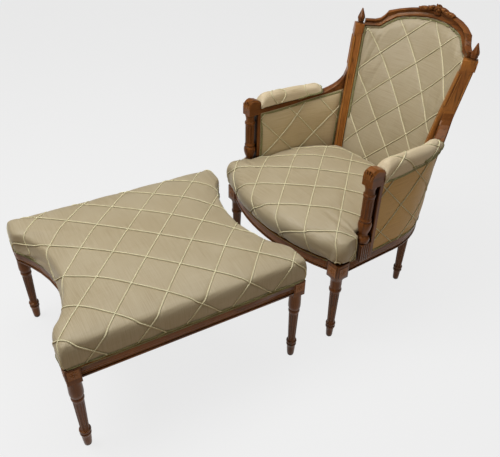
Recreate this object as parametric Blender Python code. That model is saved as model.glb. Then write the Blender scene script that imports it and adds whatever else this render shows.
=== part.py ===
"""Tub armchair in the Louis XVI manner with a matching footstool.

The chair stands on the floor, faces -Y and has the sitter's left hand at +X. Its seat
frame is a horseshoe seen from above: a bowed front rail, straight sides and a half
circle at the rear. The upright back follows the same half circle, whose centre moves
backwards with height, so that the whole shell leans. Metres, +Z up.
"""

import math

import bmesh
import bpy
from mathutils import Matrix, Vector

# Clearances
GAP = 0.0003              # between pieces that touch
OVERRUN = 0.004           # how far a fused or cutting shape runs into its neighbour

# Seat frame of the chair
SEAT_RADIUS = 0.322       # outer face of the side and rear rails, seen from above; the posts,
                          # arms and shell are set out from it
SEAT_CENTRE_Y = 0.031     # centre of the rear half circle
SEAT_FRONT = 0.305        # outer face of the front rail, ahead of the origin
RAIL_BOTTOM = 0.283
RAIL_HEIGHT = 0.062
RAIL_THICKNESS = 0.028
RAIL_MOULD = 0.004        # depth of the hollows between the mouldings of a rail
RAIL_BEAD = 0.009         # height of the bead along the lower edge of a rail

# Legs of the chair
FRONT_LEG_SET_IN = 0.021  # middle of a front leg inside the rails' outer face
FRONT_LEG_Y = -0.223
LEG_HEIGHT = 0.262        # floor to the flared foot of the square die
LEG_RADIUS = 0.022        # of the widest ring
FLUTE_DEPTH = 0.0024
FRONT_DIE = 0.026         # half side of the square die on a front leg
DIE_EAR = 0.0016          # the flare under a die stands out this far

# Rear posts: leg, die, stile and finial in one timber
STILE_WIDTH = 0.032       # along the circle
STILE_INNER_LEAN_SHARE = 0.0685
STILE_CROWN = 0.002       # the face towards the sitter is slightly round
STILE_PROUD = 0.004       # outer face ahead of the rails' outer face, at the seat rail
STILE_OUTER_LEAN_SHARE = 0.031
STILE_ANGLE_LOW = 43.0    # degrees from the side, at the seat rail
STILE_ANGLE_HIGH = 37.0   # and at the finial
STILE_DROP = 0.118        # top of the crest to the top of the stiles
REAR_DIE_SET_IN = 0.003   # outer face of the die inside the rails' outer face
REAR_DIE_DEPTH = 0.056
REAR_DIE_WIDTH = 0.050
FINIAL_BLOCK_EXTRA = 0.0005
FINIAL_BLOCK_PROUD = 0.004  # past the stile's outer face
FINIAL_BLOCK_HEIGHT = 0.035
FINIAL_HEIGHT = 0.054
FINIAL_RADIUS = 0.014
FINIAL_SET_BACK = 0.006   # the bud stands behind the middle of its block
BACK_RAKE_SHARE = 0.168
BOW_POWER = 1.5
BACK_BOW = 0.006          # the back bows forwards this far, half way up its stiles

# Shell of the upholstered sides and back
SHELL_PROUD = 0.001       # past the rails' outer face, at the seat rail
SHELL_LEAN_SHARE = 0.0175
SHELL_BOW = 0.009         # its sides draw in this far, half way up the stiles

# Crest rail
CREST_SET_IN = 0.015      # inner face, from the rails' outer face
CREST_THICKNESS = 0.020
CREST_MIDDLE = 1.003      # top edge in the middle
CREST_ARCH = 0.031        # fall from there to the shoulders
CREST_STEP = 0.034        # fall from the shoulder to the dip beside the finial
CREST_LOW_STEP = 0.028    # the same for the lower edge
CREST_DEPTH = 0.028       # height of the rail's face
CREST_BEAD = 0.003
SHOULDER_ANGLE = 35.5     # degrees from the middle of the back
DIP_ANGLE = 43.0
CREST_STEP_POWER = 2.2

# Carving in the middle of the crest
FLOWER_RADIUS = 0.011
PETAL_SIZE = 0.0125
LEAF_LENGTH = 0.025
LEAF_WIDTH = 0.0095
CARVING_RISE = 0.008
CARVING_DEPTH = 0.011

# Lower rail of the back, hidden in the upholstery
BACK_RAIL_BOTTOM = 0.400
BACK_RAIL_HEIGHT = 0.040
BACK_RAIL_THICKNESS = 0.018

# Arms
ARM_BOTTOM = 0.631
ARM_HEIGHT = 0.021
ARM_SET_IN = 0.021        # inner face, from the rails' outer face
ARM_WIDTH = 0.042
ARM_TAPER_SHARE = 0.12    # of the width, lost towards the stile
ARM_EDGE = 0.004
ARM_LIFT = 0.044          # rise of the underside towards the stile
ARM_DRIFT = 0.013         # slow rise of the top edge
ARM_SWEEP = 0.084         # quarter sweep of the top edge up the stile
SWEEP_START_SHARE = 0.70
BLOCK_PROUD = 0.001       # middle of the arm's front block past the rails' outer face
BLOCK_HALF = 0.0215
BLOCK_FRONT_Y = -0.168
BLOCK_REAR_Y = -0.114
BLOCK_BOTTOM = 0.628
BLOCK_HEIGHT = 0.060
BLOCK_ROUND = 0.022
BLOCK_EDGE = 0.007        # its top edges
POST_FRONT_Y = -0.1257
POST_DEPTH = 0.014
POST_WIDTH = 0.038
PLINTH_Y = -0.149
PLINTH_HALF = 0.0212
PLINTH_HEIGHT = 0.067
PLINTH_FLUTE = 0.003
PLINTH_FLUTES = 4
COLUMN_RADIUS = 0.023

# Upholstery of the chair
PANEL_THICKNESS = 0.010
PANEL_CROWN = 0.004
SIDE_PAD_SET_IN = 0.020   # edges of the inner side pads, from the rails' outer face
SIDE_PAD_CROWN = 0.017
SIDE_PAD_BACKING = 0.010
BACK_PAD_BOTTOM = 0.402
BACK_PAD_BACKING = 0.020
PAD_CLEAR = 0.004         # back pad to the outer panel, under the crest
BACK_PAD_CROWN = 0.075    # the pad is flat across the small of the back
BACK_PAD_CROWN_POWER = 1.6
BACK_PAD_ROLL_SHARE = 0.08
BACK_RAIL_CLEAR = 0.0045
ARM_PAD_HEIGHT = 0.050
ARM_PAD_OVERHANG = 0.004
ARM_PAD_INNER_OVERHANG = 0.004
SPRING_CLEAR = 0.022      # rails to the sprung middle of a seat
SEAT_MIDDLE_Y = -0.020
SEAT_SIDE_SET_IN = 0.039  # sides between the pads, from the rails' outer face
SEAT_POST_SET_IN = 0.0225
SEAT_EAR_PROUD = 0.004    # front corners past the rails' outer face
SEAT_EAR_Y = -0.254
SEAT_REAR_SET_IN = 0.131  # rear edge ahead of the rear rail's outer face
SEAT_CORNER_SET_IN = 0.061
SEAT_OVERHANG = 0.028     # the front edge bulges past the rail
SEAT_EDGE_HEIGHT = 0.062  # rail to the rolled edge
SEAT_DOME = 0.066         # rolled edge to the crown
SEAT_ROLL = 0.016
SEAT_FRONT_POWER = 1.35   # the seat rises slowly from the front edge
SEAT_REAR_POWER = 3.4     # and quickly from the back

# Webbing and corner blocks
STRAP_WIDTH = 0.050
STRAP_THICKNESS = 0.003
STRAP_PITCH = 0.095
STRAP_LAP = 0.018
STRAP_SHIFT = -0.008
BLOCK_LEG = 0.060         # length of a corner block along each rail

# Footstool, in its own frame: origin on the floor under its middle
STOOL_X = -0.0554
STOOL_Y = -0.7344
STOOL_TURN = -5.2         # degrees, as it stands in the photograph
STOOL_HALF_X = 0.337      # outer faces of the long rails
STOOL_HALF_Y = 0.387      # outer faces of the corners at the short ends
STOOL_DIE = 0.0215
STOOL_LEG_HEIGHT = 0.287
STOOL_LEG_RADIUS = 0.021
STOOL_RAIL_BOTTOM = 0.302
STOOL_RAIL_HEIGHT = 0.045
STOOL_RAIL_THICKNESS = 0.028
STOOL_HOLLOW = 0.083      # depth of the concave ends
STOOL_SHOULDER = 0.075    # straight end of the short rails beside the hollow
STOOL_PAD_PROUD = 0.003
STOOL_EDGE_HEIGHT = 0.050
STOOL_DOME = 0.036
STOOL_ROLL = 0.016
STOOL_PAD_CORNER = 0.012
STOOL_DOME_POWER = 2.4

# Outlines as shares: height share and radius share, bottom to top
FOOT_SHARES = [(0.0, 0.46), (0.012, 0.52), (0.100, 0.58), (0.165, 0.64), (0.180, 0.76),
               (0.212, 0.76), (0.226, 0.66), (0.240, 0.80), (0.268, 0.80), (0.280, 0.61)]
SHAFT_SHARES = [(0.292, 0.60), (0.815, 0.80)]
NECK_SHARES = [(0.832, 0.80), (0.846, 0.96), (0.868, 1.00), (0.888, 0.96), (0.900, 0.88),
               (0.916, 0.91), (1.0, 0.91)]
STOOL_FOOT_SHARES = [(0.0, 0.50), (0.012, 0.56), (0.170, 0.70), (0.184, 0.80), (0.204, 0.80),
                     (0.216, 0.70), (0.228, 0.86), (0.250, 0.86), (0.262, 0.62)]
STOOL_SHAFT_SHARES = [(0.279, 0.60), (0.705, 0.79)]
STOOL_NECK_SHARES = [(0.722, 0.78), (0.734, 0.90), (0.756, 0.90), (0.768, 0.84), (0.800, 0.97),
                     (0.830, 1.00), (0.960, 0.95), (1.0, 0.97)]
DIE_FLARE_SHARES = [(0.15, 0.86), (0.50, 0.93), (0.85, 1.06), (1.0, 1.06)]
COLUMN_BASE_SHARES = [(0.0, 0.87), (0.030, 0.98), (0.080, 1.00), (0.120, 0.93), (0.140, 0.66),
                      (0.175, 0.63), (0.210, 0.76), (0.270, 0.96), (0.330, 1.00), (0.370, 0.89),
                      (0.395, 0.76), (0.410, 0.87), (0.428, 0.87), (0.442, 0.72)]
COLUMN_SHAFT_SHARES = [(0.462, 0.79), (0.790, 0.81)]
COLUMN_TOP_SHARES = [(0.805, 0.74), (0.820, 0.89), (0.850, 0.89), (0.865, 0.72), (0.915, 0.70),
                     (0.955, 0.85), (1.0, 0.87)]
FINIAL_SHARES = [(0.0, 0.80), (0.07, 0.76), (0.18, 0.92), (0.33, 1.00), (0.45, 0.95),
                 (0.65, 0.66), (0.85, 0.36), (1.0, 0.16)]
ARM_SHARES = [0.0, 0.02, 0.07, 0.20, 0.35, 0.47, 0.53, 0.59, 0.65, 0.70, 0.74, 0.77, 0.81, 0.85,
              0.89, 0.925, 0.955, 0.98, 1.0]
ARM_PAD_SHARES = [0.0, 0.02, 0.07, 0.20, 0.35, 0.47, 0.53, 0.59, 0.65, 0.70, 0.74, 0.77]

# Counts
ROUND = 16                # points round every leg, post and column
SMOOTH_ANGLE = 38.0

RAIL_TOP = RAIL_BOTTOM + RAIL_HEIGHT
FRONT_LEG_X = SEAT_RADIUS - FRONT_LEG_SET_IN
STILE_TOP = CREST_MIDDLE - STILE_DROP
STILE_OUTER = SEAT_RADIUS + STILE_PROUD
REAR_DIE_OUTER = SEAT_RADIUS - REAR_DIE_SET_IN
STILE_INNER = REAR_DIE_OUTER - REAR_DIE_DEPTH
SHELL_RADIUS = SEAT_RADIUS + SHELL_PROUD
CREST_INNER = SEAT_RADIUS - CREST_SET_IN
CREST_OUTER = CREST_INNER + CREST_THICKNESS
ARM_INNER = SEAT_RADIUS - ARM_SET_IN
BLOCK_X = SEAT_RADIUS + BLOCK_PROUD
SIDE_PAD_EDGE = SEAT_RADIUS - SIDE_PAD_SET_IN
SEAT_SIDE_X = SEAT_RADIUS - SEAT_SIDE_SET_IN
SEAT_POST_X = SEAT_RADIUS - SEAT_POST_SET_IN
SEAT_EAR_X = SEAT_RADIUS + SEAT_EAR_PROUD
SEAT_REAR_Y = SEAT_CENTRE_Y + SEAT_RADIUS - SEAT_REAR_SET_IN
SEAT_CORNER_R = SEAT_RADIUS - SEAT_CORNER_SET_IN
STOOL_HOLLOW_HALF = STOOL_HALF_X - STOOL_SHOULDER
STOOL_RAIL_TOP = STOOL_RAIL_BOTTOM + STOOL_RAIL_HEIGHT
ARM_TOP = ARM_BOTTOM + ARM_HEIGHT
FINIAL_BLOCK_TOP = STILE_TOP + FINIAL_BLOCK_HEIGHT

WOOD = ("carved_beech", (0.215, 0.075, 0.028), 0.38)
FABRIC = ("trellis_silk", (0.410, 0.335, 0.225), 0.62)
HESSIAN = ("hessian", (0.420, 0.330, 0.190), 0.92)
JUTE = ("jute_webbing", (0.330, 0.225, 0.110), 0.90)


# Objects and materials

def clear_scene():
    for item in list(bpy.data.objects):
        bpy.data.objects.remove(item, do_unlink=True)


def own_material(name, finish):
    label, colour, roughness = finish
    material = bpy.data.materials.new(name + "_" + label)
    material.use_nodes = True
    shader = material.node_tree.nodes["Principled BSDF"]
    shader.inputs["Base Color"].default_value = (*colour, 1.0)
    shader.inputs["Roughness"].default_value = roughness
    shader.inputs["Metallic"].default_value = 0.0
    return material


def to_object(name, bm, finish, parent):
    """Makes the closed mesh in bm into a named object with its own material."""
    bmesh.ops.recalc_face_normals(bm, faces=bm.faces[:])
    mesh = bpy.data.meshes.new(name)
    bm.to_mesh(mesh)
    bm.free()
    mesh.shade_smooth()
    mesh.set_sharp_from_angle(angle=math.radians(SMOOTH_ANGLE))
    mesh.materials.append(own_material(name, finish))
    made = bpy.data.objects.new(name, mesh)
    bpy.context.scene.collection.objects.link(made)
    made.parent = parent
    return made


def mirrored(source, name, finish):
    """A copy of a left-hand piece for the sitter's right."""
    bm = bmesh.new()
    bm.from_mesh(source.data)
    bmesh.ops.transform(bm, matrix=Matrix.Scale(-1.0, 4, Vector((1.0, 0.0, 0.0))), verts=bm.verts[:])
    return to_object(name, bm, finish, source.parent)


def group(name, parent=None):
    empty = bpy.data.objects.new(name, None)
    bpy.context.scene.collection.objects.link(empty)
    empty.parent = parent
    return empty


# Ways of making solids

def loft(name, rings, finish, parent):
    """Skins a row of closed rings with equal counts and closes both ends."""
    bm = bmesh.new()
    rows = [[bm.verts.new(point) for point in ring] for ring in rings]
    for low, high in zip(rows, rows[1:]):
        for i in range(len(low)):
            j = (i + 1) % len(low)
            bm.faces.new((low[i], low[j], high[j], high[i]))
    bm.faces.new(rows[0][::-1])
    bm.faces.new(rows[-1])
    return to_object(name, bm, finish, parent)


def slab(name, front, back, finish, parent):
    """Closes two grids of points, one behind the other, into a solid."""
    bm = bmesh.new()
    near = [[bm.verts.new(point) for point in row] for row in front]
    far = [[bm.verts.new(point) for point in row] for row in back]
    last_row = len(near) - 1
    last_column = len(near[0]) - 1
    for i in range(last_row):
        for j in range(last_column):
            bm.faces.new((near[i][j], near[i][j + 1], near[i + 1][j + 1], near[i + 1][j]))
            bm.faces.new((far[i][j], far[i + 1][j], far[i + 1][j + 1], far[i][j + 1]))
    for i in range(last_row):
        bm.faces.new((near[i][0], near[i + 1][0], far[i + 1][0], far[i][0]))
        bm.faces.new((near[i][last_column], far[i][last_column],
                      far[i + 1][last_column], near[i + 1][last_column]))
    for j in range(last_column):
        bm.faces.new((near[0][j], far[0][j], far[0][j + 1], near[0][j + 1]))
        bm.faces.new((near[last_row][j], near[last_row][j + 1],
                      far[last_row][j + 1], far[last_row][j]))
    return to_object(name, bm, finish, parent)


def prism(name, outline, bottom, top, finish, parent):
    """Extrudes a plan outline upwards."""
    bm = bmesh.new()
    base = bm.faces.new([bm.verts.new((x, y, bottom)) for x, y in outline])
    grown = bmesh.ops.extrude_face_region(bm, geom=[base])
    raised = [item for item in grown["geom"] if isinstance(item, bmesh.types.BMVert)]
    bmesh.ops.translate(bm, verts=raised, vec=(0.0, 0.0, top - bottom))
    return to_object(name, bm, finish, parent)


def fuse(target, pieces):
    """Joins overlapping shapes into the target as one body."""
    for piece in pieces:
        piece.hide_render = True
        piece.display_type = "WIRE"
        union = target.modifiers.new("join_" + piece.name, "BOOLEAN")
        union.operation = "UNION"
        union.solver = "EXACT"
        union.object = piece


def spread(count):
    """Evenly spaced shares from 0 to 1, ends included."""
    return [i / (count - 1) for i in range(count)]


def ease(share):
    """Smooth step between 0 and 1."""
    share = min(1.0, max(0.0, share))
    return share * share * (3.0 - 2.0 * share)


# The leaning horseshoe

def bow(z):
    """Nothing at the seat rail and above the stiles, 1 half way between."""
    share = min(1.0, max(0.0, (z - RAIL_TOP) / (STILE_TOP - RAIL_TOP)))
    return (4.0 * share * (1.0 - share)) ** BOW_POWER


def centre_y(z):
    return SEAT_CENTRE_Y + BACK_RAKE_SHARE * max(0.0, z - RAIL_TOP) - BACK_BOW * bow(z)


def on_circle(radius, degrees, z):
    """A point of the shell by its radius, its angle from the sitter's left and its height."""
    turn = math.radians(degrees)
    return Vector((radius * math.cos(turn), centre_y(z) + radius * math.sin(turn), z))


def drawn_in(share, z):
    """How far a side lies inside its plain radius: nothing at the front post, all at the stile."""
    return SHELL_BOW * bow(z) * ease(share)


def shell_radius(share, z):
    return SHELL_RADIUS + SHELL_LEAN_SHARE * max(0.0, z - RAIL_TOP) - drawn_in(share, z)


def stile_inner(z):
    return STILE_INNER + STILE_INNER_LEAN_SHARE * max(0.0, z - RAIL_TOP) - drawn_in(1.0, z)


def stile_outer(z):
    return STILE_OUTER + STILE_OUTER_LEAN_SHARE * max(0.0, z - RAIL_TOP) - drawn_in(1.0, z)


def back_radius(z):
    """Outer face of the back, from the stiles' face at the seat to the crest's at the top."""
    share = max(0.0, z - RAIL_TOP) / (CREST_MIDDLE - RAIL_TOP)
    return STILE_OUTER + (CREST_OUTER - STILE_OUTER) * share - drawn_in(1.0, z)


def pad_radius(z):
    """Face of the back pad along its edges: the stiles' inner face, then the crest's."""
    return min(stile_inner(z), CREST_INNER)


def pad_back_radius(z):
    return min(pad_radius(z) + BACK_PAD_BACKING, back_radius(z) - PANEL_THICKNESS - PAD_CLEAR)


def stile_angle(z):
    share = max(0.0, (z - RAIL_TOP) / (STILE_TOP - RAIL_TOP))
    return STILE_ANGLE_LOW + (STILE_ANGLE_HIGH - STILE_ANGLE_LOW) * min(1.0, share)


def beside_stile(radius, z, side, half=STILE_WIDTH / 2):
    """Angle of a face that stands against the stile: side is -1 ahead of it, 1 behind it."""
    return stile_angle(z) + side * math.degrees(math.asin((half + GAP) / radius))


def behind_stile(radius, z):
    """Angle of what stands behind the stile, clear of the finial's wider block."""
    return beside_stile(radius, z, 1, STILE_WIDTH / 2 + FINIAL_BLOCK_EXTRA)


def along_side(radius, share, z, front_y, rear_angle):
    """A point on one side: straight back from front_y, then round to rear_angle."""
    straight = centre_y(z) - front_y
    length = straight + radius * math.radians(rear_angle)
    way = share * length
    if way <= straight:
        return Vector((radius, front_y + way, z))
    return on_circle(radius, math.degrees((way - straight) / radius), z)


# Turned and square timbers

def round_ring(x, y, z, radius, flute=0.0, turn=0.0):
    """Ring of a turned timber; every second point lies in a flute."""
    points = []
    for i in range(ROUND):
        reach = radius - (flute if i % 2 else 0.0)
        angle = math.radians(turn) + math.tau * i / ROUND - math.pi / 4
        points.append(Vector((x + reach * math.cos(angle), y + reach * math.sin(angle), z)))
    return points


def square_ring(x, y, z, half_x, half_y, turn=0.0, crown=0.0):
    """Ring of a square timber with its points in step with round_ring.

    half_x is measured along the turn angle. The face that looks back along it can be crowned.
    """
    corners = [(1, -1), (1, 1), (-1, 1), (-1, -1)]
    spin = Matrix.Rotation(math.radians(turn), 2)
    points = []
    per_side = ROUND // 4
    for i in range(ROUND):
        side, step = divmod(i, per_side)
        share = step / per_side
        here = corners[side]
        there = corners[(side + 1) % 4]
        across = here[0] + (there[0] - here[0]) * share
        along = here[1] + (there[1] - here[1]) * share
        inward = crown * (1.0 - along * along) if side == 2 else 0.0
        flat = spin @ Vector((across * half_x - inward, along * half_y))
        points.append(Vector((x + flat.x, y + flat.y, z)))
    return points


def turned_rings(x, y, bottom, height, radius, flute, turn, plain_low, fluted, plain_high):
    """Rings of a turned timber: plain mouldings, a fluted shaft and plain mouldings."""
    rings = []
    for shares, depth in ((plain_low, 0.0), (fluted, flute), (plain_high, 0.0)):
        for high, wide in shares:
            rings.append(round_ring(x, y, bottom + high * height, wide * radius, depth, turn))
    return rings


def chair_leg_rings(x, y, turn=0.0):
    return turned_rings(x, y, 0.0, LEG_HEIGHT, LEG_RADIUS, FLUTE_DEPTH, turn,
                        FOOT_SHARES, SHAFT_SHARES, NECK_SHARES)


def stool_leg_rings(x, y):
    return turned_rings(x, y, 0.0, STOOL_LEG_HEIGHT, STOOL_LEG_RADIUS, FLUTE_DEPTH, 0.0,
                        STOOL_FOOT_SHARES, STOOL_SHAFT_SHARES, STOOL_NECK_SHARES)


# Rails with their moulded outer face

def rail_section(bottom, top, thickness):
    """Outward offset from the outer face and height, once round the section."""
    bead = bottom + RAIL_BEAD
    return [(-thickness, bottom), (-RAIL_MOULD / 2, bottom), (0.0, bottom + RAIL_MOULD / 2),
            (0.0, bead - RAIL_MOULD / 2), (-RAIL_MOULD, bead), (-RAIL_MOULD / 2, bead + RAIL_MOULD),
            (0.0, (bead + top) / 2), (-RAIL_MOULD / 4, top - RAIL_MOULD), (-RAIL_MOULD, top),
            (-thickness, top)]


def plan_rail(name, path, section, parent):
    """Sweeps a section along plan points, each given with its outward direction."""
    rings = []
    for point, outward in path:
        rings.append([Vector((point.x + outward.x * offset, point.y + outward.y * offset, z))
                      for offset, z in section])
    return loft(name, rings, WOOD, parent)


def bow_radius():
    """Radius of the bowed front, through its middle and the front corners of the dies."""
    half = FRONT_LEG_X - FRONT_DIE
    depth = SEAT_FRONT + FRONT_LEG_Y - FRONT_DIE
    return (half * half + depth * depth) / (2.0 * depth)


def bow_point(x):
    """Point of the front rail's outer face and its outward direction."""
    radius = bow_radius()
    drop = radius - math.sqrt(radius * radius - x * x)
    outward = Vector((x / radius, -math.sqrt(1.0 - (x / radius) ** 2)))
    return Vector((x, -SEAT_FRONT + drop)), outward


def circle_path(radius, start, end, count, centre):
    path = []
    for share in spread(count):
        turn = math.radians(start + (end - start) * share)
        outward = Vector((math.cos(turn), math.sin(turn)))
        path.append((Vector((0.0, centre)) + outward * radius, outward))
    return path


def rear_leg_centre():
    middle = on_circle((STILE_INNER + REAR_DIE_OUTER) / 2, STILE_ANGLE_LOW, 0.0)
    return middle.x, middle.y


def make_seat_rails(parent):
    section = rail_section(RAIL_BOTTOM, RAIL_TOP, RAIL_THICKNESS)
    half = FRONT_LEG_X - FRONT_DIE - GAP
    front = [bow_point(half * (2.0 * share - 1.0)) for share in spread(13)]
    # the rail's ends are cut square to the dies, so the section runs straight back there
    path = [(point, Vector((0.0, -1.0)) if abs(abs(point.x) - half) < GAP else outward)
            for point, outward in front]
    plan_rail("front_rail", path, section, parent)

    die_rear = FRONT_LEG_Y + FRONT_DIE + GAP
    outward = Vector((1.0, 0.0))
    side = [(Vector((SEAT_RADIUS, die_rear)), outward)]
    side += circle_path(SEAT_RADIUS, 0.0, rail_angle(-1), 9, SEAT_CENTRE_Y)
    left = plan_rail("side_rail_left", side, section, parent)
    mirrored(left, "side_rail_right", WOOD)

    start = rail_angle(1)
    rear = circle_path(SEAT_RADIUS, start, 180.0 - start, 15, SEAT_CENTRE_Y)
    plan_rail("rear_rail", rear, section, parent)


def rail_angle(side):
    """Angle at which a rail meets the square die of the rear post."""
    inner = SEAT_RADIUS - RAIL_THICKNESS
    return STILE_ANGLE_LOW + side * math.degrees(math.asin((REAR_DIE_WIDTH / 2 + GAP) / inner))


def die_profile(bottom, half):
    """Heights and half sides of a die with the flare under it, up to the rail's top."""
    rise = RAIL_BOTTOM - GAP - DIE_EAR - bottom
    profile = [(bottom + high * rise, half * wide) for high, wide in DIE_FLARE_SHARES]
    return profile + [(RAIL_BOTTOM - GAP, half), (RAIL_TOP, half)]


def make_front_legs(parent):
    rings = chair_leg_rings(FRONT_LEG_X, FRONT_LEG_Y)
    for z, half in die_profile(LEG_HEIGHT, FRONT_DIE):
        rings.append(square_ring(FRONT_LEG_X, FRONT_LEG_Y, z, half, half))
    left = loft("front_leg_left", rings, WOOD, parent)
    mirrored(left, "front_leg_right", WOOD)


def stile_ring(z, half_width, inner, outer, crown=0.0):
    turn = stile_angle(z)
    middle = on_circle((inner + outer) / 2, turn, z)
    return square_ring(middle.x, middle.y, z, (outer - inner) / 2, half_width, turn, crown)


def make_rear_posts(parent):
    x, y = rear_leg_centre()
    rings = chair_leg_rings(x, y, STILE_ANGLE_LOW)
    deep_share = (REAR_DIE_OUTER - STILE_INNER) / REAR_DIE_WIDTH
    for z, half in die_profile(LEG_HEIGHT, REAR_DIE_WIDTH / 2):
        rings.append(square_ring(x, y, z, half * deep_share, half, STILE_ANGLE_LOW))
    for share in spread(7):
        z = RAIL_TOP + (STILE_TOP - RAIL_TOP) * share
        rings.append(stile_ring(z, STILE_WIDTH / 2, stile_inner(z), stile_outer(z), STILE_CROWN))
    inner = stile_inner(STILE_TOP) - FINIAL_BLOCK_EXTRA
    outer = stile_outer(STILE_TOP) + FINIAL_BLOCK_PROUD
    for z in (STILE_TOP, FINIAL_BLOCK_TOP):
        block = on_circle((inner + outer) / 2, STILE_ANGLE_HIGH, z)
        rings.append(square_ring(block.x, block.y, z, (outer - inner) / 2,
                                 STILE_WIDTH / 2 + FINIAL_BLOCK_EXTRA, STILE_ANGLE_HIGH))
    for high, wide in FINIAL_SHARES:
        z = FINIAL_BLOCK_TOP + high * FINIAL_HEIGHT
        bud = on_circle((inner + outer) / 2 + FINIAL_SET_BACK, STILE_ANGLE_HIGH, z)
        rings.append(round_ring(bud.x, bud.y, z, wide * FINIAL_RADIUS, 0.0, STILE_ANGLE_HIGH))
    left = loft("rear_post_left", rings, WOOD, parent)
    mirrored(left, "rear_post_right", WOOD)


# Crest rail and its carving

def crest_top(angle):
    """Height of the crest's top edge by the angle from the middle of the back."""
    off = abs(angle)
    arch = CREST_ARCH * (min(off, SHOULDER_ANGLE) / SHOULDER_ANGLE) ** 2
    drop = 0.0
    if off > SHOULDER_ANGLE:
        share = min(1.0, (off - SHOULDER_ANGLE) / (DIP_ANGLE - SHOULDER_ANGLE))
        drop = CREST_STEP * (1.0 - (1.0 - share) ** CREST_STEP_POWER)
    return CREST_MIDDLE - arch - drop


def crest_bottom(angle):
    """The lower edge follows the top edge, with a softer step."""
    off = abs(angle)
    arch = CREST_ARCH * (min(off, SHOULDER_ANGLE) / SHOULDER_ANGLE) ** 2
    start = SHOULDER_ANGLE - (DIP_ANGLE - SHOULDER_ANGLE) / 2
    share = (off - start) / (SHOULDER_ANGLE - start)
    return CREST_MIDDLE - CREST_DEPTH - arch - CREST_LOW_STEP * ease(share / 2)


def crest_end_angle(z):
    return 90.0 - behind_stile(CREST_INNER, z)


def crest_stations():
    end = crest_end_angle(STILE_TOP)
    shoulder = SHOULDER_ANGLE
    bend = DIP_ANGLE - shoulder
    half = [shoulder * share for share in (0.0, 0.2, 0.4, 0.6, 0.8, 1.0)]
    half += [shoulder + bend * share for share in (0.12, 0.3, 0.55, 1.0)]
    half.append(end)
    return [-angle for angle in half[:0:-1]] + half


def make_crest(parent):
    rings = []
    for angle in crest_stations():
        top = crest_top(angle)
        low = crest_bottom(angle)
        inner = CREST_INNER
        outer = CREST_OUTER
        tall = top - low
        section = [(inner, low), (inner - CREST_BEAD, low + tall * 0.14), (inner, low + tall * 0.28),
                   (inner + CREST_BEAD, low + tall * 0.50), (inner, low + tall * 0.72),
                   (inner - CREST_BEAD, low + tall * 0.88), (inner + CREST_BEAD, top),
                   (outer - CREST_BEAD, top), (outer, top - CREST_BEAD), (outer, low)]
        rings.append([on_circle(radius, 90.0 - angle, z) for radius, z in section])
    crest = loft("crest_rail", rings, WOOD, parent)
    fuse(crest, crest_carving(parent))


def carved_lump(name, size, place, lean, parent):
    """One petal or leaf: a flattened ball, turned about the line of sight."""
    bm = bmesh.new()
    turn = Matrix.Rotation(math.radians(lean), 4, "Y")
    shape = Matrix.Diagonal((*size, 1.0))
    bmesh.ops.create_icosphere(bm, subdivisions=1, radius=1.0)
    bmesh.ops.subdivide_edges(bm, edges=bm.edges[:], cuts=1, use_grid_fill=True, smooth=0.6)
    bmesh.ops.transform(bm, matrix=Matrix.Translation(place) @ turn @ shape, verts=bm.verts[:])
    return to_object(name, bm, WOOD, parent)


def crest_carving(parent):
    """A flower with two sprays of leaves on the middle of the crest."""
    middle_z = CREST_MIDDLE + CARVING_RISE - PETAL_SIZE / 2
    lumps = []
    heart = on_circle(CREST_INNER, 90.0, middle_z)
    for i in range(5):
        turn = math.tau * i / 5
        shift = Vector((math.sin(turn), 0.0, math.cos(turn))) * FLOWER_RADIUS * 0.75
        lumps.append(carved_lump("petal_%d" % i, (PETAL_SIZE, CARVING_DEPTH, PETAL_SIZE),
                                 heart + shift, 0.0, parent))
    for side in (-1, 1):
        for number, (reach_share, rise_share, lean) in enumerate(((1.35, 0.10, 24.0),
                                                                  (2.35, -0.30, 8.0))):
            spot = on_circle(CREST_INNER, 90.0 - side * math.degrees(LEAF_LENGTH * reach_share
                                                                    / CREST_INNER), middle_z)
            spot.z += rise_share * PETAL_SIZE
            lumps.append(carved_lump("leaf_%d_%d" % (side, number),
                                     (LEAF_LENGTH, CARVING_DEPTH, LEAF_WIDTH), spot,
                                     side * lean, parent))
    return lumps


def make_back_lower_rail(parent):
    inner = stile_inner(BACK_RAIL_BOTTOM) + BACK_PAD_BACKING + BACK_RAIL_CLEAR
    outer = inner + BACK_RAIL_THICKNESS
    low = BACK_RAIL_BOTTOM
    high = low + BACK_RAIL_HEIGHT
    rings = []
    for share in spread(13):
        ring = []
        for radius, z in ((inner, low), (outer, low), (outer, high), (inner, high)):
            start = beside_stile(radius, z, 1)
            ring.append(on_circle(radius, start + (180.0 - 2.0 * start) * share, z))
        rings.append(ring)
    loft("back_lower_rail", rings, WOOD, parent)


# Arms

def sweep_share(share):
    """Quarter round that carries the arm's top edge up the stile."""
    x = max(0.0, (share - SWEEP_START_SHARE) / (1.0 - SWEEP_START_SHARE))
    return 1.0 - math.sqrt(max(0.0, 1.0 - x * x))


def arm_top(share):
    return ARM_TOP + ARM_DRIFT * ease(2.0 * share - 1.0) + ARM_SWEEP * sweep_share(share)


def arm_bottom(share):
    return ARM_BOTTOM + ARM_LIFT * share ** 3


def arm_outer(share):
    return ARM_INNER + ARM_WIDTH * (1.0 - ARM_TAPER_SHARE * share)


def arm_point(plain_radius, share, z):
    radius = plain_radius - drawn_in(share, z)
    return along_side(radius, share, z, BLOCK_REAR_Y + GAP, beside_stile(radius, z, -1))


def block_ring(y, low, high):
    """Ring across the square block at the front of an arm, with softened top edges."""
    left = BLOCK_X - BLOCK_HALF
    right = BLOCK_X + BLOCK_HALF
    edge = BLOCK_EDGE
    return [Vector((x, y, z)) for x, z in ((left, low), (right, low), (right, high - edge),
                                            (right - edge, high), (left + edge, high),
                                            (left, high - edge))]


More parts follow.
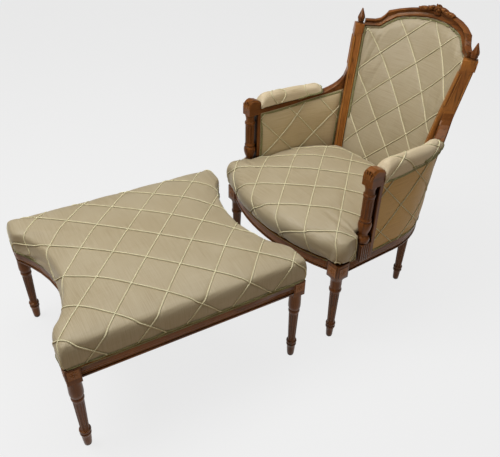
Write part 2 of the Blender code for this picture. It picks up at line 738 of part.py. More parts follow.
def make_arms(parent):
    top = BLOCK_BOTTOM + BLOCK_HEIGHT
    rings = []
    for share in (0.0, 0.25, 0.55, 1.0):
        lift = BLOCK_ROUND * (1.0 - math.sqrt(1.0 - (1.0 - share) ** 2))
        rings.append(block_ring(BLOCK_FRONT_Y + BLOCK_ROUND * share, BLOCK_BOTTOM, top - lift))
    for share in (0.5, 1.0):
        lift = BLOCK_ROUND * 0.5 * share
        rings.append(block_ring(BLOCK_REAR_Y - BLOCK_ROUND * (1.0 - share), BLOCK_BOTTOM, top - lift))
    inner = ARM_INNER
    for share in ARM_SHARES:
        outer = arm_outer(share)
        low = arm_bottom(share)
        high = arm_top(share)
        ring = []
        for radius, z in ((inner, low), (outer, low), (outer, high - ARM_EDGE),
                          (outer - ARM_EDGE, high), (inner + ARM_EDGE, high),
                          (inner, high - ARM_EDGE)):
            ring.append(arm_point(radius, share, z))
        rings.append(ring)
    left = loft("arm_rail_left", rings, WOOD, parent)
    mirrored(left, "arm_rail_right", WOOD)


def make_arm_supports(parent):
    """Fluted plinth, turned column and the flat post behind them."""
    outline = []
    corners = [(1, -1), (1, 1), (-1, 1), (-1, -1)]
    half = PLINTH_HALF
    for side in range(4):
        here = Vector(corners[side]) * half
        there = Vector(corners[(side + 1) % 4]) * half
        inward = -(here + there).normalized() * PLINTH_FLUTE
        outline.append(here)
        for i in range(PLINTH_FLUTES):
            start = (i + 0.70) / (PLINTH_FLUTES + 0.40)
            for offset, deep in ((-0.25, 0.0), (0.0, 1.0), (0.25, 0.0)):
                share = start + offset / (PLINTH_FLUTES + 0.40)
                outline.append(here.lerp(there, share) + inward * deep)
    plan = [(BLOCK_X + point.x, PLINTH_Y + point.y) for point in outline]
    plinth_top = RAIL_TOP + GAP + PLINTH_HEIGHT
    plinth = prism("arm_plinth_left", plan, RAIL_TOP + GAP, plinth_top, WOOD, parent)
    mirrored(plinth, "arm_plinth_right", WOOD)

    bottom = plinth_top + GAP
    rings = turned_rings(BLOCK_X, PLINTH_Y, bottom, BLOCK_BOTTOM - GAP - bottom, COLUMN_RADIUS,
                         FLUTE_DEPTH, 0.0, COLUMN_BASE_SHARES, COLUMN_SHAFT_SHARES,
                         COLUMN_TOP_SHARES)
    column = loft("arm_column_left", rings, WOOD, parent)
    mirrored(column, "arm_column_right", WOOD)

    left = BLOCK_X - POST_WIDTH / 2
    right = BLOCK_X + POST_WIDTH / 2
    rear = POST_FRONT_Y + POST_DEPTH
    edge = ARM_EDGE / 2
    plan = [(left + edge, POST_FRONT_Y), (right - edge, POST_FRONT_Y), (right, POST_FRONT_Y + edge),
            (right, rear), (left, rear), (left, POST_FRONT_Y + edge)]
    post = prism("arm_post_left", plan, RAIL_TOP + GAP, BLOCK_BOTTOM - GAP, WOOD, parent)
    mirrored(post, "arm_post_right", WOOD)


# Upholstery of the chair

def swell(u, v):
    """Crown of a pad: nothing at its edges, full over most of the middle."""
    return (1.0 - abs(2.0 * u - 1.0) ** 3.0) * (1.0 - abs(2.0 * v - 1.0) ** 3.0)


def side_grid(rows, columns, radius_at, bottom, clear):
    """Grid over one side from the post to the stile, up to the arm."""
    front_y = POST_FRONT_Y + POST_DEPTH + GAP
    grid = []
    for v in spread(rows):
        line = []
        for u in spread(columns):
            top = arm_bottom(u) - clear
            z = bottom + (top - bottom) * v
            radius = radius_at(u, v, z)
            line.append(along_side(radius, u, z, front_y, beside_stile(radius, z, -1)))
        grid.append(line)
    return grid


def make_side_pads(parent):
    bottom = RAIL_TOP + GAP
    clear = ARM_LIFT / 16
    front = side_grid(7, 9, lambda u, v, z: SIDE_PAD_EDGE - drawn_in(u, z) - SIDE_PAD_CROWN * swell(u, v),
                      bottom, clear)
    back = side_grid(7, 9, lambda u, v, z: SIDE_PAD_EDGE - drawn_in(u, z) + SIDE_PAD_BACKING, bottom, clear)
    left = slab("side_pad_left", front, back, FABRIC, parent)
    mirrored(left, "side_pad_right", FABRIC)

    def face(u, v, z):
        return shell_radius(u, z) + PANEL_CROWN * swell(u, v)

    front = side_grid(5, 11, face, bottom, clear)
    back = side_grid(5, 11, lambda u, v, z: shell_radius(u, z) - PANEL_THICKNESS, bottom, clear)
    left = slab("side_panel_left", front, back, FABRIC, parent)
    mirrored(left, "side_panel_right", FABRIC)


def make_arm_pads(parent):
    """Stuffed pads that sit on the arms and turn down over their outer side."""
    inner = ARM_INNER - ARM_PAD_INNER_OVERHANG
    rings = []
    for along in ARM_PAD_SHARES:
        share = along / ARM_PAD_SHARES[-1]
        full = min(1.0, math.sqrt(min(share, 1.0 - share) / 0.12 + 0.12))
        rail = arm_outer(along) + GAP
        outer = rail + ARM_PAD_OVERHANG
        base = arm_top(along) + GAP
        low = arm_bottom(along)
        high = base + (ARM_PAD_HEIGHT - 0.25 * ARM_PAD_HEIGHT * share) * full
        tall = high - base
        section = [(inner, base), (rail, base), (rail, low), (outer - ARM_PAD_OVERHANG * 0.3, low),
                   (outer, low + (base - low) * 0.6), (outer, base + tall * 0.35),
                   (outer - ARM_WIDTH * 0.14, base + tall * 0.75),
                   (outer - ARM_WIDTH * 0.45, high), (inner + ARM_WIDTH * 0.42, high),
                   (inner + ARM_WIDTH * 0.10, base + tall * 0.75),
                   (inner - ARM_PAD_INNER_OVERHANG * 0.2, base + tall * 0.35)]
        rings.append([arm_point(radius, along, z) for radius, z in section])
    left = loft("arm_pad_left", rings, FABRIC, parent)
    mirrored(left, "arm_pad_right", FABRIC)


def back_rows(rows, bottom, clear, radius_at):
    """Grid between the rear posts, in step with the stations of the crest rail."""
    stations = crest_stations()
    grid = []
    for v in spread(rows):
        line = []
        for station in stations:
            u = (stations[-1] - station) / (2.0 * stations[-1])
            top = crest_bottom(station) - clear
            z = bottom + (top - bottom) * v
            radius = radius_at(u, v, z)
            start = behind_stile(radius, z)
            turn = start + (180.0 - 2.0 * start) * u
            if abs(station) < stations[-1]:
                turn += (90.0 - station - turn) * v
            line.append(on_circle(radius, turn, z))
        grid.append(line)
    return grid


def make_back(parent):
    """Deep inner pad, flat across the small of the back, and the outer panel."""
    rows = 10
    clear = GAP * 4.0
    front = back_rows(rows, BACK_PAD_BOTTOM, clear, lambda u, v, z: pad_radius(z))
    for v, line in zip(spread(rows), front):
        crown = BACK_PAD_CROWN * (1.0 - v ** BACK_PAD_CROWN_POWER)
        roll = math.sqrt(1.0 - max(0.0, 1.0 - (1.0 - v) / BACK_PAD_ROLL_SHARE) ** 2)
        for point in line:
            across = point.x / line[0].x
            point.y -= crown * (1.0 - abs(across) ** 2.5) * roll
    rear = back_rows(rows, BACK_PAD_BOTTOM, clear, lambda u, v, z: pad_back_radius(z))
    slab("back_pad", front, rear, FABRIC, parent)

    bottom = RAIL_TOP + GAP
    clear = GAP * 2.0
    front = back_rows(rows, bottom, clear, lambda u, v, z: back_radius(z) + PANEL_CROWN * swell(u, v))
    rear = back_rows(rows, bottom, clear, lambda u, v, z: back_radius(z) - PANEL_THICKNESS)
    slab("back_panel", front, rear, FABRIC, parent)


def seat_outline():
    """Half outline of the seat, front middle to rear middle.

    Each entry is a point, how freely the edge may bulge there, and the smooth point that it
    tends to inside the seat.
    """
    half = []
    straight_x = FRONT_LEG_X - FRONT_DIE
    for share in spread(7)[:-1]:
        point = bow_point(straight_x * share)[0]
        half.append((point, 1.0, point))
    start = bow_point(straight_x)[0]
    elbow = Vector((SEAT_EAR_X, SEAT_EAR_Y))
    finish = Vector((SEAT_EAR_X, FRONT_LEG_Y + FRONT_DIE / 2))
    notch_front = PLINTH_Y - PLINTH_HALF - GAP * 8.0
    notch_rear = POST_FRONT_Y + POST_DEPTH * 0.4
    inside = SEAT_SIDE_X
    for share in spread(5):
        point = start.lerp(elbow, share).lerp(elbow.lerp(finish, share), share)
        smooth = Vector((min(point.x, inside + SEAT_ROLL * 1.4), point.y))
        half.append((point, 1.0 - 0.35 * share, smooth))
    half.append((Vector((SEAT_EAR_X, notch_front)), 0.0,
                 Vector((inside + SEAT_ROLL, notch_front - SEAT_ROLL * 2.1))))
    half.append((Vector((SEAT_POST_X, notch_front)), 0.0,
                 Vector((inside + SEAT_ROLL * 0.6, notch_front - SEAT_ROLL * 1.4))))
    half.append((Vector((SEAT_POST_X, notch_rear)), 0.0,
                 Vector((inside + SEAT_ROLL * 0.3, notch_rear - SEAT_ROLL))))
    half.append((Vector((inside, notch_rear + POST_DEPTH * 0.5)), 0.0,
                 Vector((inside, notch_rear + POST_DEPTH * 0.5))))
    corner_angle = math.degrees(math.asin((SEAT_REAR_Y - SEAT_CENTRE_Y) / SEAT_CORNER_R))
    for share in spread(7):
        angle = corner_angle * share
        radius = inside + (SEAT_CORNER_R - inside) * ease(share * 1.6)
        turn = math.radians(angle)
        point = Vector((radius * math.cos(turn), SEAT_CENTRE_Y + radius * math.sin(turn)))
        half.append((point, 0.0, point))
    corner = half[-1][0]
    for share in spread(5)[1:]:
        point = Vector((corner.x * (1.0 - share), SEAT_REAR_Y))
        half.append((point, 0.0, point))
    return half


def both_sides(half):
    """Completes a half outline that starts and ends on the middle line."""
    flip = Matrix.Diagonal((-1.0, 1.0))
    other = [(flip @ point, free, flip @ smooth) for point, free, smooth in half[-2:0:-1]]
    return half + other


def pad_rings(outline, levels, centre):
    """Rings of a pad from its flat underside over the rolled edge to the dome.

    A level is a rule for the height, the inset, the bulge and how far the ring has shrunk.
    """
    rings = []
    for height_at, inset, bulge, shrink in levels:
        ring = []
        for point, free, smooth in outline:
            base = point.lerp(smooth, min(1.0, shrink * 5.0))
            way = base - centre
            reach = way.length
            move = (bulge - inset) * free
            place = centre + way * ((reach + move) / reach * (1.0 - shrink))
            ring.append(Vector((place.x, place.y, height_at(point))))
        rings.append(ring)
    return rings


def make_springs(name, centre, half_sizes, bottom, top, parent):
    """Sprung middle between the webbing and the pad, inside the rails."""
    count = ROUND * 2
    outline = []
    for i in range(count):
        turn = math.tau * i / count
        outline.append((centre.x + half_sizes[0] * math.cos(turn),
                        centre.y + half_sizes[1] * math.sin(turn)))
    prism(name, outline, bottom, top, HESSIAN, parent)


def level(z, inset, bulge, shrink=0.0):
    return lambda point: z, inset, bulge, shrink


def dome_level(base, dome, shrink, inset, power_at):
    """A ring of the dome; the power says how quickly the dome rises from that side."""
    return lambda point: base + dome * (1.0 - (1.0 - shrink) ** power_at(point)), inset, 0.0, shrink


def seat_power(point):
    share = (point.y + SEAT_FRONT) / (SEAT_REAR_Y + SEAT_FRONT)
    return SEAT_FRONT_POWER + (SEAT_REAR_POWER - SEAT_FRONT_POWER) * ease(share * 1.5)


def make_seat_pad(parent):
    outline = both_sides(seat_outline())
    base = RAIL_TOP + GAP
    tall = SEAT_EDGE_HEIGHT
    edge = base + tall
    levels = [level(base, 0.0, 0.0), level(base + tall * 0.20, 0.0, SEAT_OVERHANG * 0.65),
              level(base + tall * 0.50, 0.0, SEAT_OVERHANG),
              level(base + tall * 0.80, 0.0, SEAT_OVERHANG * 0.85),
              level(edge, SEAT_ROLL * 0.2, SEAT_OVERHANG * 0.2)]
    for shrink in (0.07, 0.16, 0.30, 0.50, 0.75):
        levels.append(dome_level(edge, SEAT_DOME, shrink, 0.0, seat_power))
    middle = Vector((0.0, SEAT_MIDDLE_Y))
    loft("seat_pad", pad_rings(outline, levels, middle), FABRIC, parent)
    inside = RAIL_THICKNESS + SPRING_CLEAR
    make_springs("seat_springs", middle, (SEAT_RADIUS - inside, SEAT_FRONT + SEAT_MIDDLE_Y - inside),
                 RAIL_BOTTOM, RAIL_TOP, parent)


# Webbing and corner blocks

def front_rail_y(x):
    return bow_point(x)[0].y


def rear_rail_y(x):
    return SEAT_CENTRE_Y + math.sqrt(SEAT_RADIUS ** 2 - x * x)


def side_rail_x(y):
    if y <= SEAT_CENTRE_Y:
        return SEAT_RADIUS
    return math.sqrt(SEAT_RADIUS ** 2 - (y - SEAT_CENTRE_Y) ** 2)


def strap(name, low, high, bottom, parent):
    outline = [(low[0], low[1]), (high[0], low[1]), (high[0], high[1]), (low[0], high[1])]
    return prism(name, outline, bottom, bottom + STRAP_THICKNESS, JUTE, parent)


def strap_places(count):
    return [(i - (count - 1) / 2) * STRAP_PITCH for i in range(count)]


def woven(name, long_straps, cross_straps, bottom, parent):
    """Fuses crossing straps into one sheet of webbing with square openings."""
    first = strap(name, *long_straps[0], bottom, parent)
    others = [strap("%s_strap_%d" % (name, i), *ends, bottom, parent)
              for i, ends in enumerate(cross_straps + long_straps[1:])]
    fuse(first, others)
    return first


def make_seat_webbing(parent):
    lap = RAIL_THICKNESS - STRAP_LAP
    half = STRAP_WIDTH / 2
    long_straps, cross_straps = [], []
    for x in strap_places(4):
        reach = abs(x) + half
        long_straps.append(((x - half, front_rail_y(reach) + lap), (x + half, rear_rail_y(reach) - lap)))
    for place in strap_places(4):
        y = place + STRAP_SHIFT
        reach = side_rail_x(y + half) - lap
        cross_straps.append(((-reach, y - half), (reach, y + half)))
    woven("seat_webbing", long_straps, cross_straps, RAIL_BOTTOM - GAP - STRAP_THICKNESS, parent)


def notched_block(name, inner_x, inner_y, corner_x, corner_y, leg, bottom, top, parent):
    """Block glued into a corner and cut round the inner corner of the leg's die."""
    outline = [(corner_x - leg, inner_y(corner_x - leg)), (corner_x, inner_y(corner_x)),
               (corner_x, corner_y), (inner_x, corner_y), (inner_x, corner_y + leg),
               (inner_x - ARM_EDGE, corner_y + leg)]
    return prism(name, outline, bottom, top, WOOD, parent)


def front_rail_inner_y(x):
    """Inner face of the bowed front rail, clear of the flats of its short segments."""
    radius = bow_radius()
    return radius - SEAT_FRONT - math.sqrt((radius - RAIL_THICKNESS) ** 2 - x * x) + OVERRUN / 4


def make_corner_blocks(parent):
    corner_x = FRONT_LEG_X - FRONT_DIE - GAP
    corner_y = FRONT_LEG_Y + FRONT_DIE + GAP
    left = notched_block("corner_block_left", SEAT_RADIUS - RAIL_THICKNESS - GAP, front_rail_inner_y,
                         corner_x, corner_y, BLOCK_LEG, RAIL_BOTTOM + GAP, RAIL_TOP - RAIL_MOULD,
                         parent)
    mirrored(left, "corner_block_right", WOOD)


# Footstool

def hollow_radius():
    half = STOOL_HOLLOW_HALF
    return (half * half + STOOL_HOLLOW * STOOL_HOLLOW) / (2.0 * STOOL_HOLLOW)


def end_depth(x):
    """How far the concave end lies inside the line of the corners."""
    if abs(x) >= STOOL_HOLLOW_HALF:
        return 0.0
    radius = hollow_radius()
    return math.sqrt(radius * radius - x * x) - (radius - STOOL_HOLLOW)


def make_stool_frame(parent):
    bottom, top = STOOL_RAIL_BOTTOM, STOOL_RAIL_TOP
    section = rail_section(bottom, top, STOOL_RAIL_THICKNESS)
    reach = STOOL_HALF_Y - 2.0 * STOOL_DIE - GAP
    outward = Vector((1.0, 0.0))
    side = [(Vector((STOOL_HALF_X, y)), outward) for y in (-reach, reach)]
    left = plan_rail("stool_side_rail_left", side, section, parent)
    mirrored(left, "stool_side_rail_right", WOOD)

    inner = STOOL_HALF_X - 2.0 * STOOL_DIE - GAP
    stations = [inner] + [STOOL_HOLLOW_HALF * share for share in (1.0, 0.92, 0.8, 0.62, 0.42, 0.21, 0.0)]
    stations += [-x for x in stations[-2::-1]]
    for name, sign in (("stool_end_rail_front", -1.0), ("stool_end_rail_rear", 1.0)):
        path = []
        for x in stations:
            point = Vector((x, sign * (STOOL_HALF_Y - end_depth(x))))
            tilt = -sign * x / hollow_radius() if abs(x) < STOOL_HOLLOW_HALF else 0.0
            path.append((point, Vector((-sign * tilt * sign, sign * math.sqrt(1.0 - tilt * tilt)))))
        plan_rail(name, path, section, parent)


def make_stool_legs(parent):
    x = STOOL_HALF_X - STOOL_DIE
    y = STOOL_HALF_Y - STOOL_DIE
    waist = RAIL_MOULD / 2
    for name, side, end in (("stool_leg_front_left", 1, -1), ("stool_leg_front_right", -1, -1),
                            ("stool_leg_rear_left", 1, 1), ("stool_leg_rear_right", -1, 1)):
        rings = stool_leg_rings(side * x, end * y)
        for z, inset in ((STOOL_LEG_HEIGHT, waist), (STOOL_LEG_HEIGHT + waist, 0.0), (STOOL_RAIL_TOP, 0.0)):
            rings.append(square_ring(side * x, end * y, z, STOOL_DIE - inset, STOOL_DIE - inset))
        loft(name, rings, WOOD, parent)


def stool_outline():
    """Half outline of the footstool's pad, front middle to rear middle."""
    half = []
    proud = STOOL_PAD_PROUD
    corner = STOOL_PAD_CORNER
    far_x = STOOL_HALF_X + proud
    far_y = STOOL_HALF_Y + proud
    for sign in (-1.0, 1.0):
        part = []
        for share in (0.0, 0.22, 0.44, 0.66, 0.86, 1.0):
            x = STOOL_HOLLOW_HALF * share
            part.append(Vector((x, sign * (far_y - end_depth(x)))))
        for share in spread(4):
            turn = share * math.pi / 2
            part.append(Vector((far_x - corner + corner * math.sin(turn),
                                sign * (far_y - corner + corner * math.cos(turn)))))
        part += [Vector((far_x, sign * far_y * share)) for share in (0.75, 0.5, 0.25)]
        half += part if sign < 0.0 else [Vector((far_x, 0.0))] + part[::-1]
    return [(point, 1.0, point) for point in half]


def stool_power(_point):
    return STOOL_DOME_POWER


def make_stool_pad(parent):
    outline = both_sides(stool_outline())
    base = STOOL_RAIL_TOP + GAP
    edge = base + STOOL_EDGE_HEIGHT
    tall = STOOL_EDGE_HEIGHT
    levels = [level(base, STOOL_PAD_PROUD, 0.0), level(base + tall * 0.25, 0.0, STOOL_PAD_PROUD),
              level(base + tall * 0.60, 0.0, STOOL_PAD_PROUD),
              level(base + tall * 0.88, STOOL_ROLL * 0.25, 0.0),
              dome_level(edge, STOOL_DOME, 0.01, STOOL_ROLL * 0.9, stool_power)]
    for shrink in (0.10, 0.22, 0.40, 0.62, 0.84):
        levels.append(dome_level(edge, STOOL_DOME, shrink, STOOL_ROLL * (1.0 - shrink), stool_power))
    middle = Vector((0.0, 0.0))
    loft("stool_pad", pad_rings(outline, levels, middle), FABRIC, parent)
    inside = STOOL_RAIL_THICKNESS + SPRING_CLEAR
    make_springs("stool_springs", middle,
                 (STOOL_HALF_X - inside, STOOL_HALF_Y - STOOL_HOLLOW - inside),
                 STOOL_RAIL_BOTTOM, STOOL_RAIL_TOP, parent)


def make_stool_webbing(parent):
    lap = STOOL_RAIL_THICKNESS - STRAP_LAP
    half = STRAP_WIDTH / 2
    long_straps, cross_straps = [], []
    for x in strap_places(4):
        inner_edge = max(0.0, abs(x) - half)
        reach = STOOL_HALF_Y - end_depth(inner_edge) - lap
        long_straps.append(((x - half, -reach), (x + half, reach)))
    for y in strap_places(4):
        reach = STOOL_HALF_X - lap
        cross_straps.append(((-reach, y - half), (reach, y + half)))
    woven("stool_webbing", long_straps, cross_straps,
          STOOL_RAIL_BOTTOM - GAP - STRAP_THICKNESS, parent)


def make_stool_blocks(parent):
    inner_x = STOOL_HALF_X - STOOL_RAIL_THICKNESS - GAP
    corner_x = STOOL_HALF_X - 2.0 * STOOL_DIE - GAP
    corner_y = -(STOOL_HALF_Y - 2.0 * STOOL_DIE) + GAP

    def inner_end(x):
        return -(STOOL_HALF_Y - STOOL_RAIL_THICKNESS - end_depth(x)) + GAP

    leg = corner_x - STOOL_HOLLOW_HALF
    front = notched_block("stool_block_front_left", inner_x, inner_end, corner_x, corner_y, leg,
                          STOOL_RAIL_BOTTOM + GAP, STOOL_RAIL_TOP - RAIL_MOULD, parent)
    mirrored(front, "stool_block_front_right", WOOD)
    bm = bmesh.new()
    bm.from_mesh(front.data)
    bmesh.ops.transform(bm, matrix=Matrix.Scale(-1.0, 4, Vector((0.0, 1.0, 0.0))), verts=bm.verts[:])
    rear = to_object("stool_block_rear_left", bm, WOOD, parent)
    mirrored(rear, "stool_block_rear_right", WOOD)


# The set

def centre_on_floor(parent):
    """Moves the set so that the middle of its box stands over the origin."""
    bpy.context.view_layer.update()
    corners = []
    for item in parent.children_recursive:
        if item.type == "MESH" and not item.hide_render:
            corners += [item.matrix_world @ vertex.co for vertex in item.data.vertices]
    for axis in (0, 1):
        low = min(point[axis] for point in corners)
        high = max(point[axis] for point in corners)
        parent.location[axis] -= (low + high) / 2


def main():
    clear_scene()
    whole = group("armchair_and_footstool")
    chair = group("armchair", whole)
    make_seat_rails(chair)
    make_front_legs(chair)
    make_rear_posts(chair)
    make_crest(chair)
    make_back_lower_rail(chair)
    make_arms(chair)
    make_arm_supports(chair)
    make_side_pads(chair)
    make_arm_pads(chair)
    make_back(chair)
    make_seat_pad(chair)
    make_seat_webbing(chair)
    make_corner_blocks(chair)

    stool = group("footstool", whole)
    stool.location = (STOOL_X, STOOL_Y, 0.0)
    stool.rotation_euler = (0.0, 0.0, math.radians(STOOL_TURN))
    make_stool_frame(stool)
    make_stool_legs(stool)
    make_stool_pad(stool)
    make_stool_webbing(stool)
    make_stool_blocks(stool)
    centre_on_floor(whole)


main()
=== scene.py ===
"""Dresses the tub armchair and its footstool: waxed beech, trellis silk, braid, floor and light.

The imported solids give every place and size. The stuffed pads are made again from their solids
as sewn and corded silk, the turned timbers are drawn up again ring by ring with their flutes,
and the other timbers keep their solids and get a grained finish.
"""

import logging
import math
from contextlib import contextmanager
from dataclasses import dataclass
from enum import Enum
from typing import Callable, Dict, Iterable, Iterator, List, Optional, Sequence, Tuple

import bmesh
import bpy
import numpy as np
from mathutils import Matrix, Vector
from mathutils.bvhtree import BVHTree
from mathutils.kdtree import KDTree


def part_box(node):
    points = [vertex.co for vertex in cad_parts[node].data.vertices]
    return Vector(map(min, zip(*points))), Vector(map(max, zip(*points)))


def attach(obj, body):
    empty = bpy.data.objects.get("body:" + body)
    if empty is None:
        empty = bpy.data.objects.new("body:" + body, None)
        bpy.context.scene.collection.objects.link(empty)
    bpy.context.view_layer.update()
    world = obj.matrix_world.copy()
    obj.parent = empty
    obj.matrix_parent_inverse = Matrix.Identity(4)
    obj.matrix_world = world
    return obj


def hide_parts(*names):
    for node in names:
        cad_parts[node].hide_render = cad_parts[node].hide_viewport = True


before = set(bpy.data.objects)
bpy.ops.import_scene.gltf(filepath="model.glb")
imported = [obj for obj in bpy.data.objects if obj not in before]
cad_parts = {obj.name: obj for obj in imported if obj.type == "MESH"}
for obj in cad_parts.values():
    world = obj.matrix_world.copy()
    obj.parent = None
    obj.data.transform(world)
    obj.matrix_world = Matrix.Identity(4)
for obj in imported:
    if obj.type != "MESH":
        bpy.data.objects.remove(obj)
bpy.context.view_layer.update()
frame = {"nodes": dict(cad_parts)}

LOG = logging.getLogger("armchair_and_footstool")

Item = bpy.types.Object
Array = np.ndarray
Colour = Tuple[float, float, float]
Line = Tuple[Array, Array]
Rule = Callable[[Array, Array], Array]
Socket = bpy.types.NodeSocket

BACK_CENTRE: float = 0.031
RAKE: float = 0.168
TACK_LINE: float = 0.004


class Body(Enum):
    """The two things that move on their own."""

    CHAIR = "armchair"
    STOOL = "footstool"


class Grain(Enum):
    """Which way the wood grain runs, as the pattern's scale along X, Y and Z."""

    UPRIGHT = (34.0, 34.0, 2.2)
    ACROSS = (2.2, 34.0, 34.0)
    LENGTHWISE = (34.0, 2.2, 34.0)


# Placing

def node_middle(name: str) -> Vector:
    """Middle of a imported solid's box."""
    low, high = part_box(name)
    return (Vector(low) + Vector(high)) / 2.0


@dataclass(frozen=True)
class Setting:
    """Where the chair and the stool stand in the shared frame."""

    chair: Vector
    stool: Vector
    stool_turn: float
    rail_top: float
    stool_rail_top: float

    @staticmethod
    def read() -> "Setting":
        """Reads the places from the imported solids.

        Returns:
            The places.
        """
        behind_legs = 0.223
        leg = node_middle("front_leg_left")
        other = node_middle("front_leg_right")
        stool = (node_middle("stool_leg_front_left") + node_middle("stool_leg_rear_right")) / 2.0
        ahead = node_middle("stool_leg_rear_left") - node_middle("stool_leg_front_left")
        return Setting(Vector(((leg.x + other.x) / 2.0, leg.y + behind_legs, 0.0)),
                       Vector((stool.x, stool.y, 0.0)), math.atan2(-ahead.x, ahead.y),
                       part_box("side_rail_left")[1][2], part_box("stool_side_rail_left")[1][2])

    def chair_frame(self) -> Matrix:
        """From the chair's own frame to the shared frame."""
        return Matrix.Translation(self.chair)

    def stool_frame(self) -> Matrix:
        """From the stool's own frame to the shared frame."""
        return Matrix.Translation(self.stool) @ Matrix.Rotation(self.stool_turn, 4, "Z")


# Finishes

class Graph:
    """A material's node tree with short calls for adding and joining nodes."""

    def __init__(self, name: str) -> None:
        """Starts a new material.

        Args:
            name: The material's name.
        """
        self.material = bpy.data.materials.new(name)
        self.material.use_nodes = True
        self.tree = self.material.node_tree
        self.shader = self.tree.nodes["Principled BSDF"]

    def add(self, kind: str, sockets: Optional[Dict[object, object]] = None,
            **settings: object) -> bpy.types.Node:
        """Adds a node.

        Args:
            kind: The node's type name after ShaderNode.
            sockets: Values for its input sockets; a socket value is joined instead.
            **settings: Values for its own settings.

        Returns:
            The new node.
        """
        node = self.tree.nodes.new("ShaderNode" + kind)
        for key, value in settings.items():
            setattr(node, key, value)
        for key, value in (sockets or {}).items():
            self._feed(node.inputs[key], value)
        return node

    def _feed(self, socket: Socket, value: object) -> None:
        """Gives an input socket its value, or joins it to another socket.

        Args:
            socket: The input socket.
            value: A number, a vector, a colour or a socket.
        """
        if isinstance(value, Socket):
            self.tree.links.new(value, socket)
        elif socket.type == "RGBA" and len(value) == 3:
            socket.default_value = (*value, 1.0)
        else:
            socket.default_value = value

    def set(self, **values: object) -> None:
        """Sets sockets of the Principled shader, with underscores for spaces."""
        for key, value in values.items():
            self._feed(self.shader.inputs[key.replace("_", " ")], value)

    def ramp(self, fac: Socket, stops: Sequence[Tuple[float, Colour]]) -> Socket:
        """A colour ramp.

        Args:
            fac: The number that picks the colour.
            stops: Positions and colours, from low to high.

        Returns:
            The ramp's colour socket.
        """
        node = self.add("ValToRGB", {"Fac": fac})
        bar = node.color_ramp
        while len(bar.elements) < len(stops):
            bar.elements.new(0.5)
        for element, (place, colour) in zip(bar.elements, stops):
            element.position = place
            element.color = (*colour, 1.0)
        return node.outputs["Color"]

    def span(self, value: Socket, low: float, high: float,
             source: Tuple[float, float] = (0.0, 1.0)) -> Socket:
        """Maps a number onto a new range.

        Args:
            value: The number.
            low: What the start of the old range becomes.
            high: What its end becomes.
            source: The old range.

        Returns:
            The new number's socket.
        """
        node = self.add("MapRange", {"Value": value, "From Min": source[0], "From Max": source[1],
                                     "To Min": low, "To Max": high})
        return node.outputs["Result"]

    def place(self) -> Socket:
        """The surface's place on its object."""
        return self.add("TexCoord").outputs["Object"]

    def stretched(self, place: Socket, scale: Sequence[float]) -> Socket:
        """A place scaled along each axis."""
        return self.add("Mapping", {"Vector": place, "Scale": scale}).outputs["Vector"]

    def noise(self, place: Socket, scale: float, detail: float, **more: float) -> Socket:
        """Cloudy noise.

        Args:
            place: Where it is read.
            scale: How fine it is.
            detail: How many finer layers it has.
            **more: Values for the node's other sockets.

        Returns:
            The noise's socket.
        """
        sockets = {"Vector": place, "Scale": scale, "Detail": detail, **more}
        return self.add("TexNoise", sockets).outputs["Fac"]

    def wave(self, place: Socket, scale: float, distortion: float, direction: str, **more: float) -> Socket:
        """Parallel bands.

        Args:
            place: Where they are read.
            scale: How close they lie.
            distortion: How much they wander.
            direction: The axis that they cross.
            **more: Values for the node's other sockets, with underscores for spaces.

        Returns:
            The bands' socket.
        """
        sockets = {"Vector": place, "Scale": scale, "Distortion": distortion}
        sockets.update({key.replace("_", " "): value for key, value in more.items()})
        return self.add("TexWave", sockets, bands_direction=direction).outputs["Fac"]

    def math(self, operation: str, first: object, second: object) -> Socket:
        """Joins two numbers by a sum of the named kind."""
        return self.add("Math", {0: first, 1: second}, operation=operation).outputs[0]

    def openness(self, distance: float, inside: bool = False) -> Socket:
        """How open the surface lies: 1 on the flat, less in a hollow, or on an edge seen from inside."""
        node = self.add("AmbientOcclusion", {"Distance": distance}, samples=6, inside=inside)
        return node.outputs["AO"]

    def bump(self, height: Socket, strength: float, distance: float,
             under: Optional[Socket] = None) -> Socket:
        """Relief in the shading.

        Args:
            height: The relief.
            strength: How strongly it shows.
            distance: How high it is, in metres.
            under: A normal that it lies on.

        Returns:
            The normal's socket.
        """
        sockets = {"Height": height, "Strength": strength, "Distance": distance}
        if under:
            sockets["Normal"] = under
        return self.add("Bump", sockets).outputs["Normal"]

    def blend(self, fac: object, first: object, second: object) -> Socket:
        """Mixes two colours.

        Args:
            fac: The second one's share.
            first: A colour or its socket.
            second: A colour or its socket.

        Returns:
            The mixed colour's socket.
        """
        return self.add("Mix", {0: fac, 6: first, 7: second}, data_type="RGBA").outputs[2]


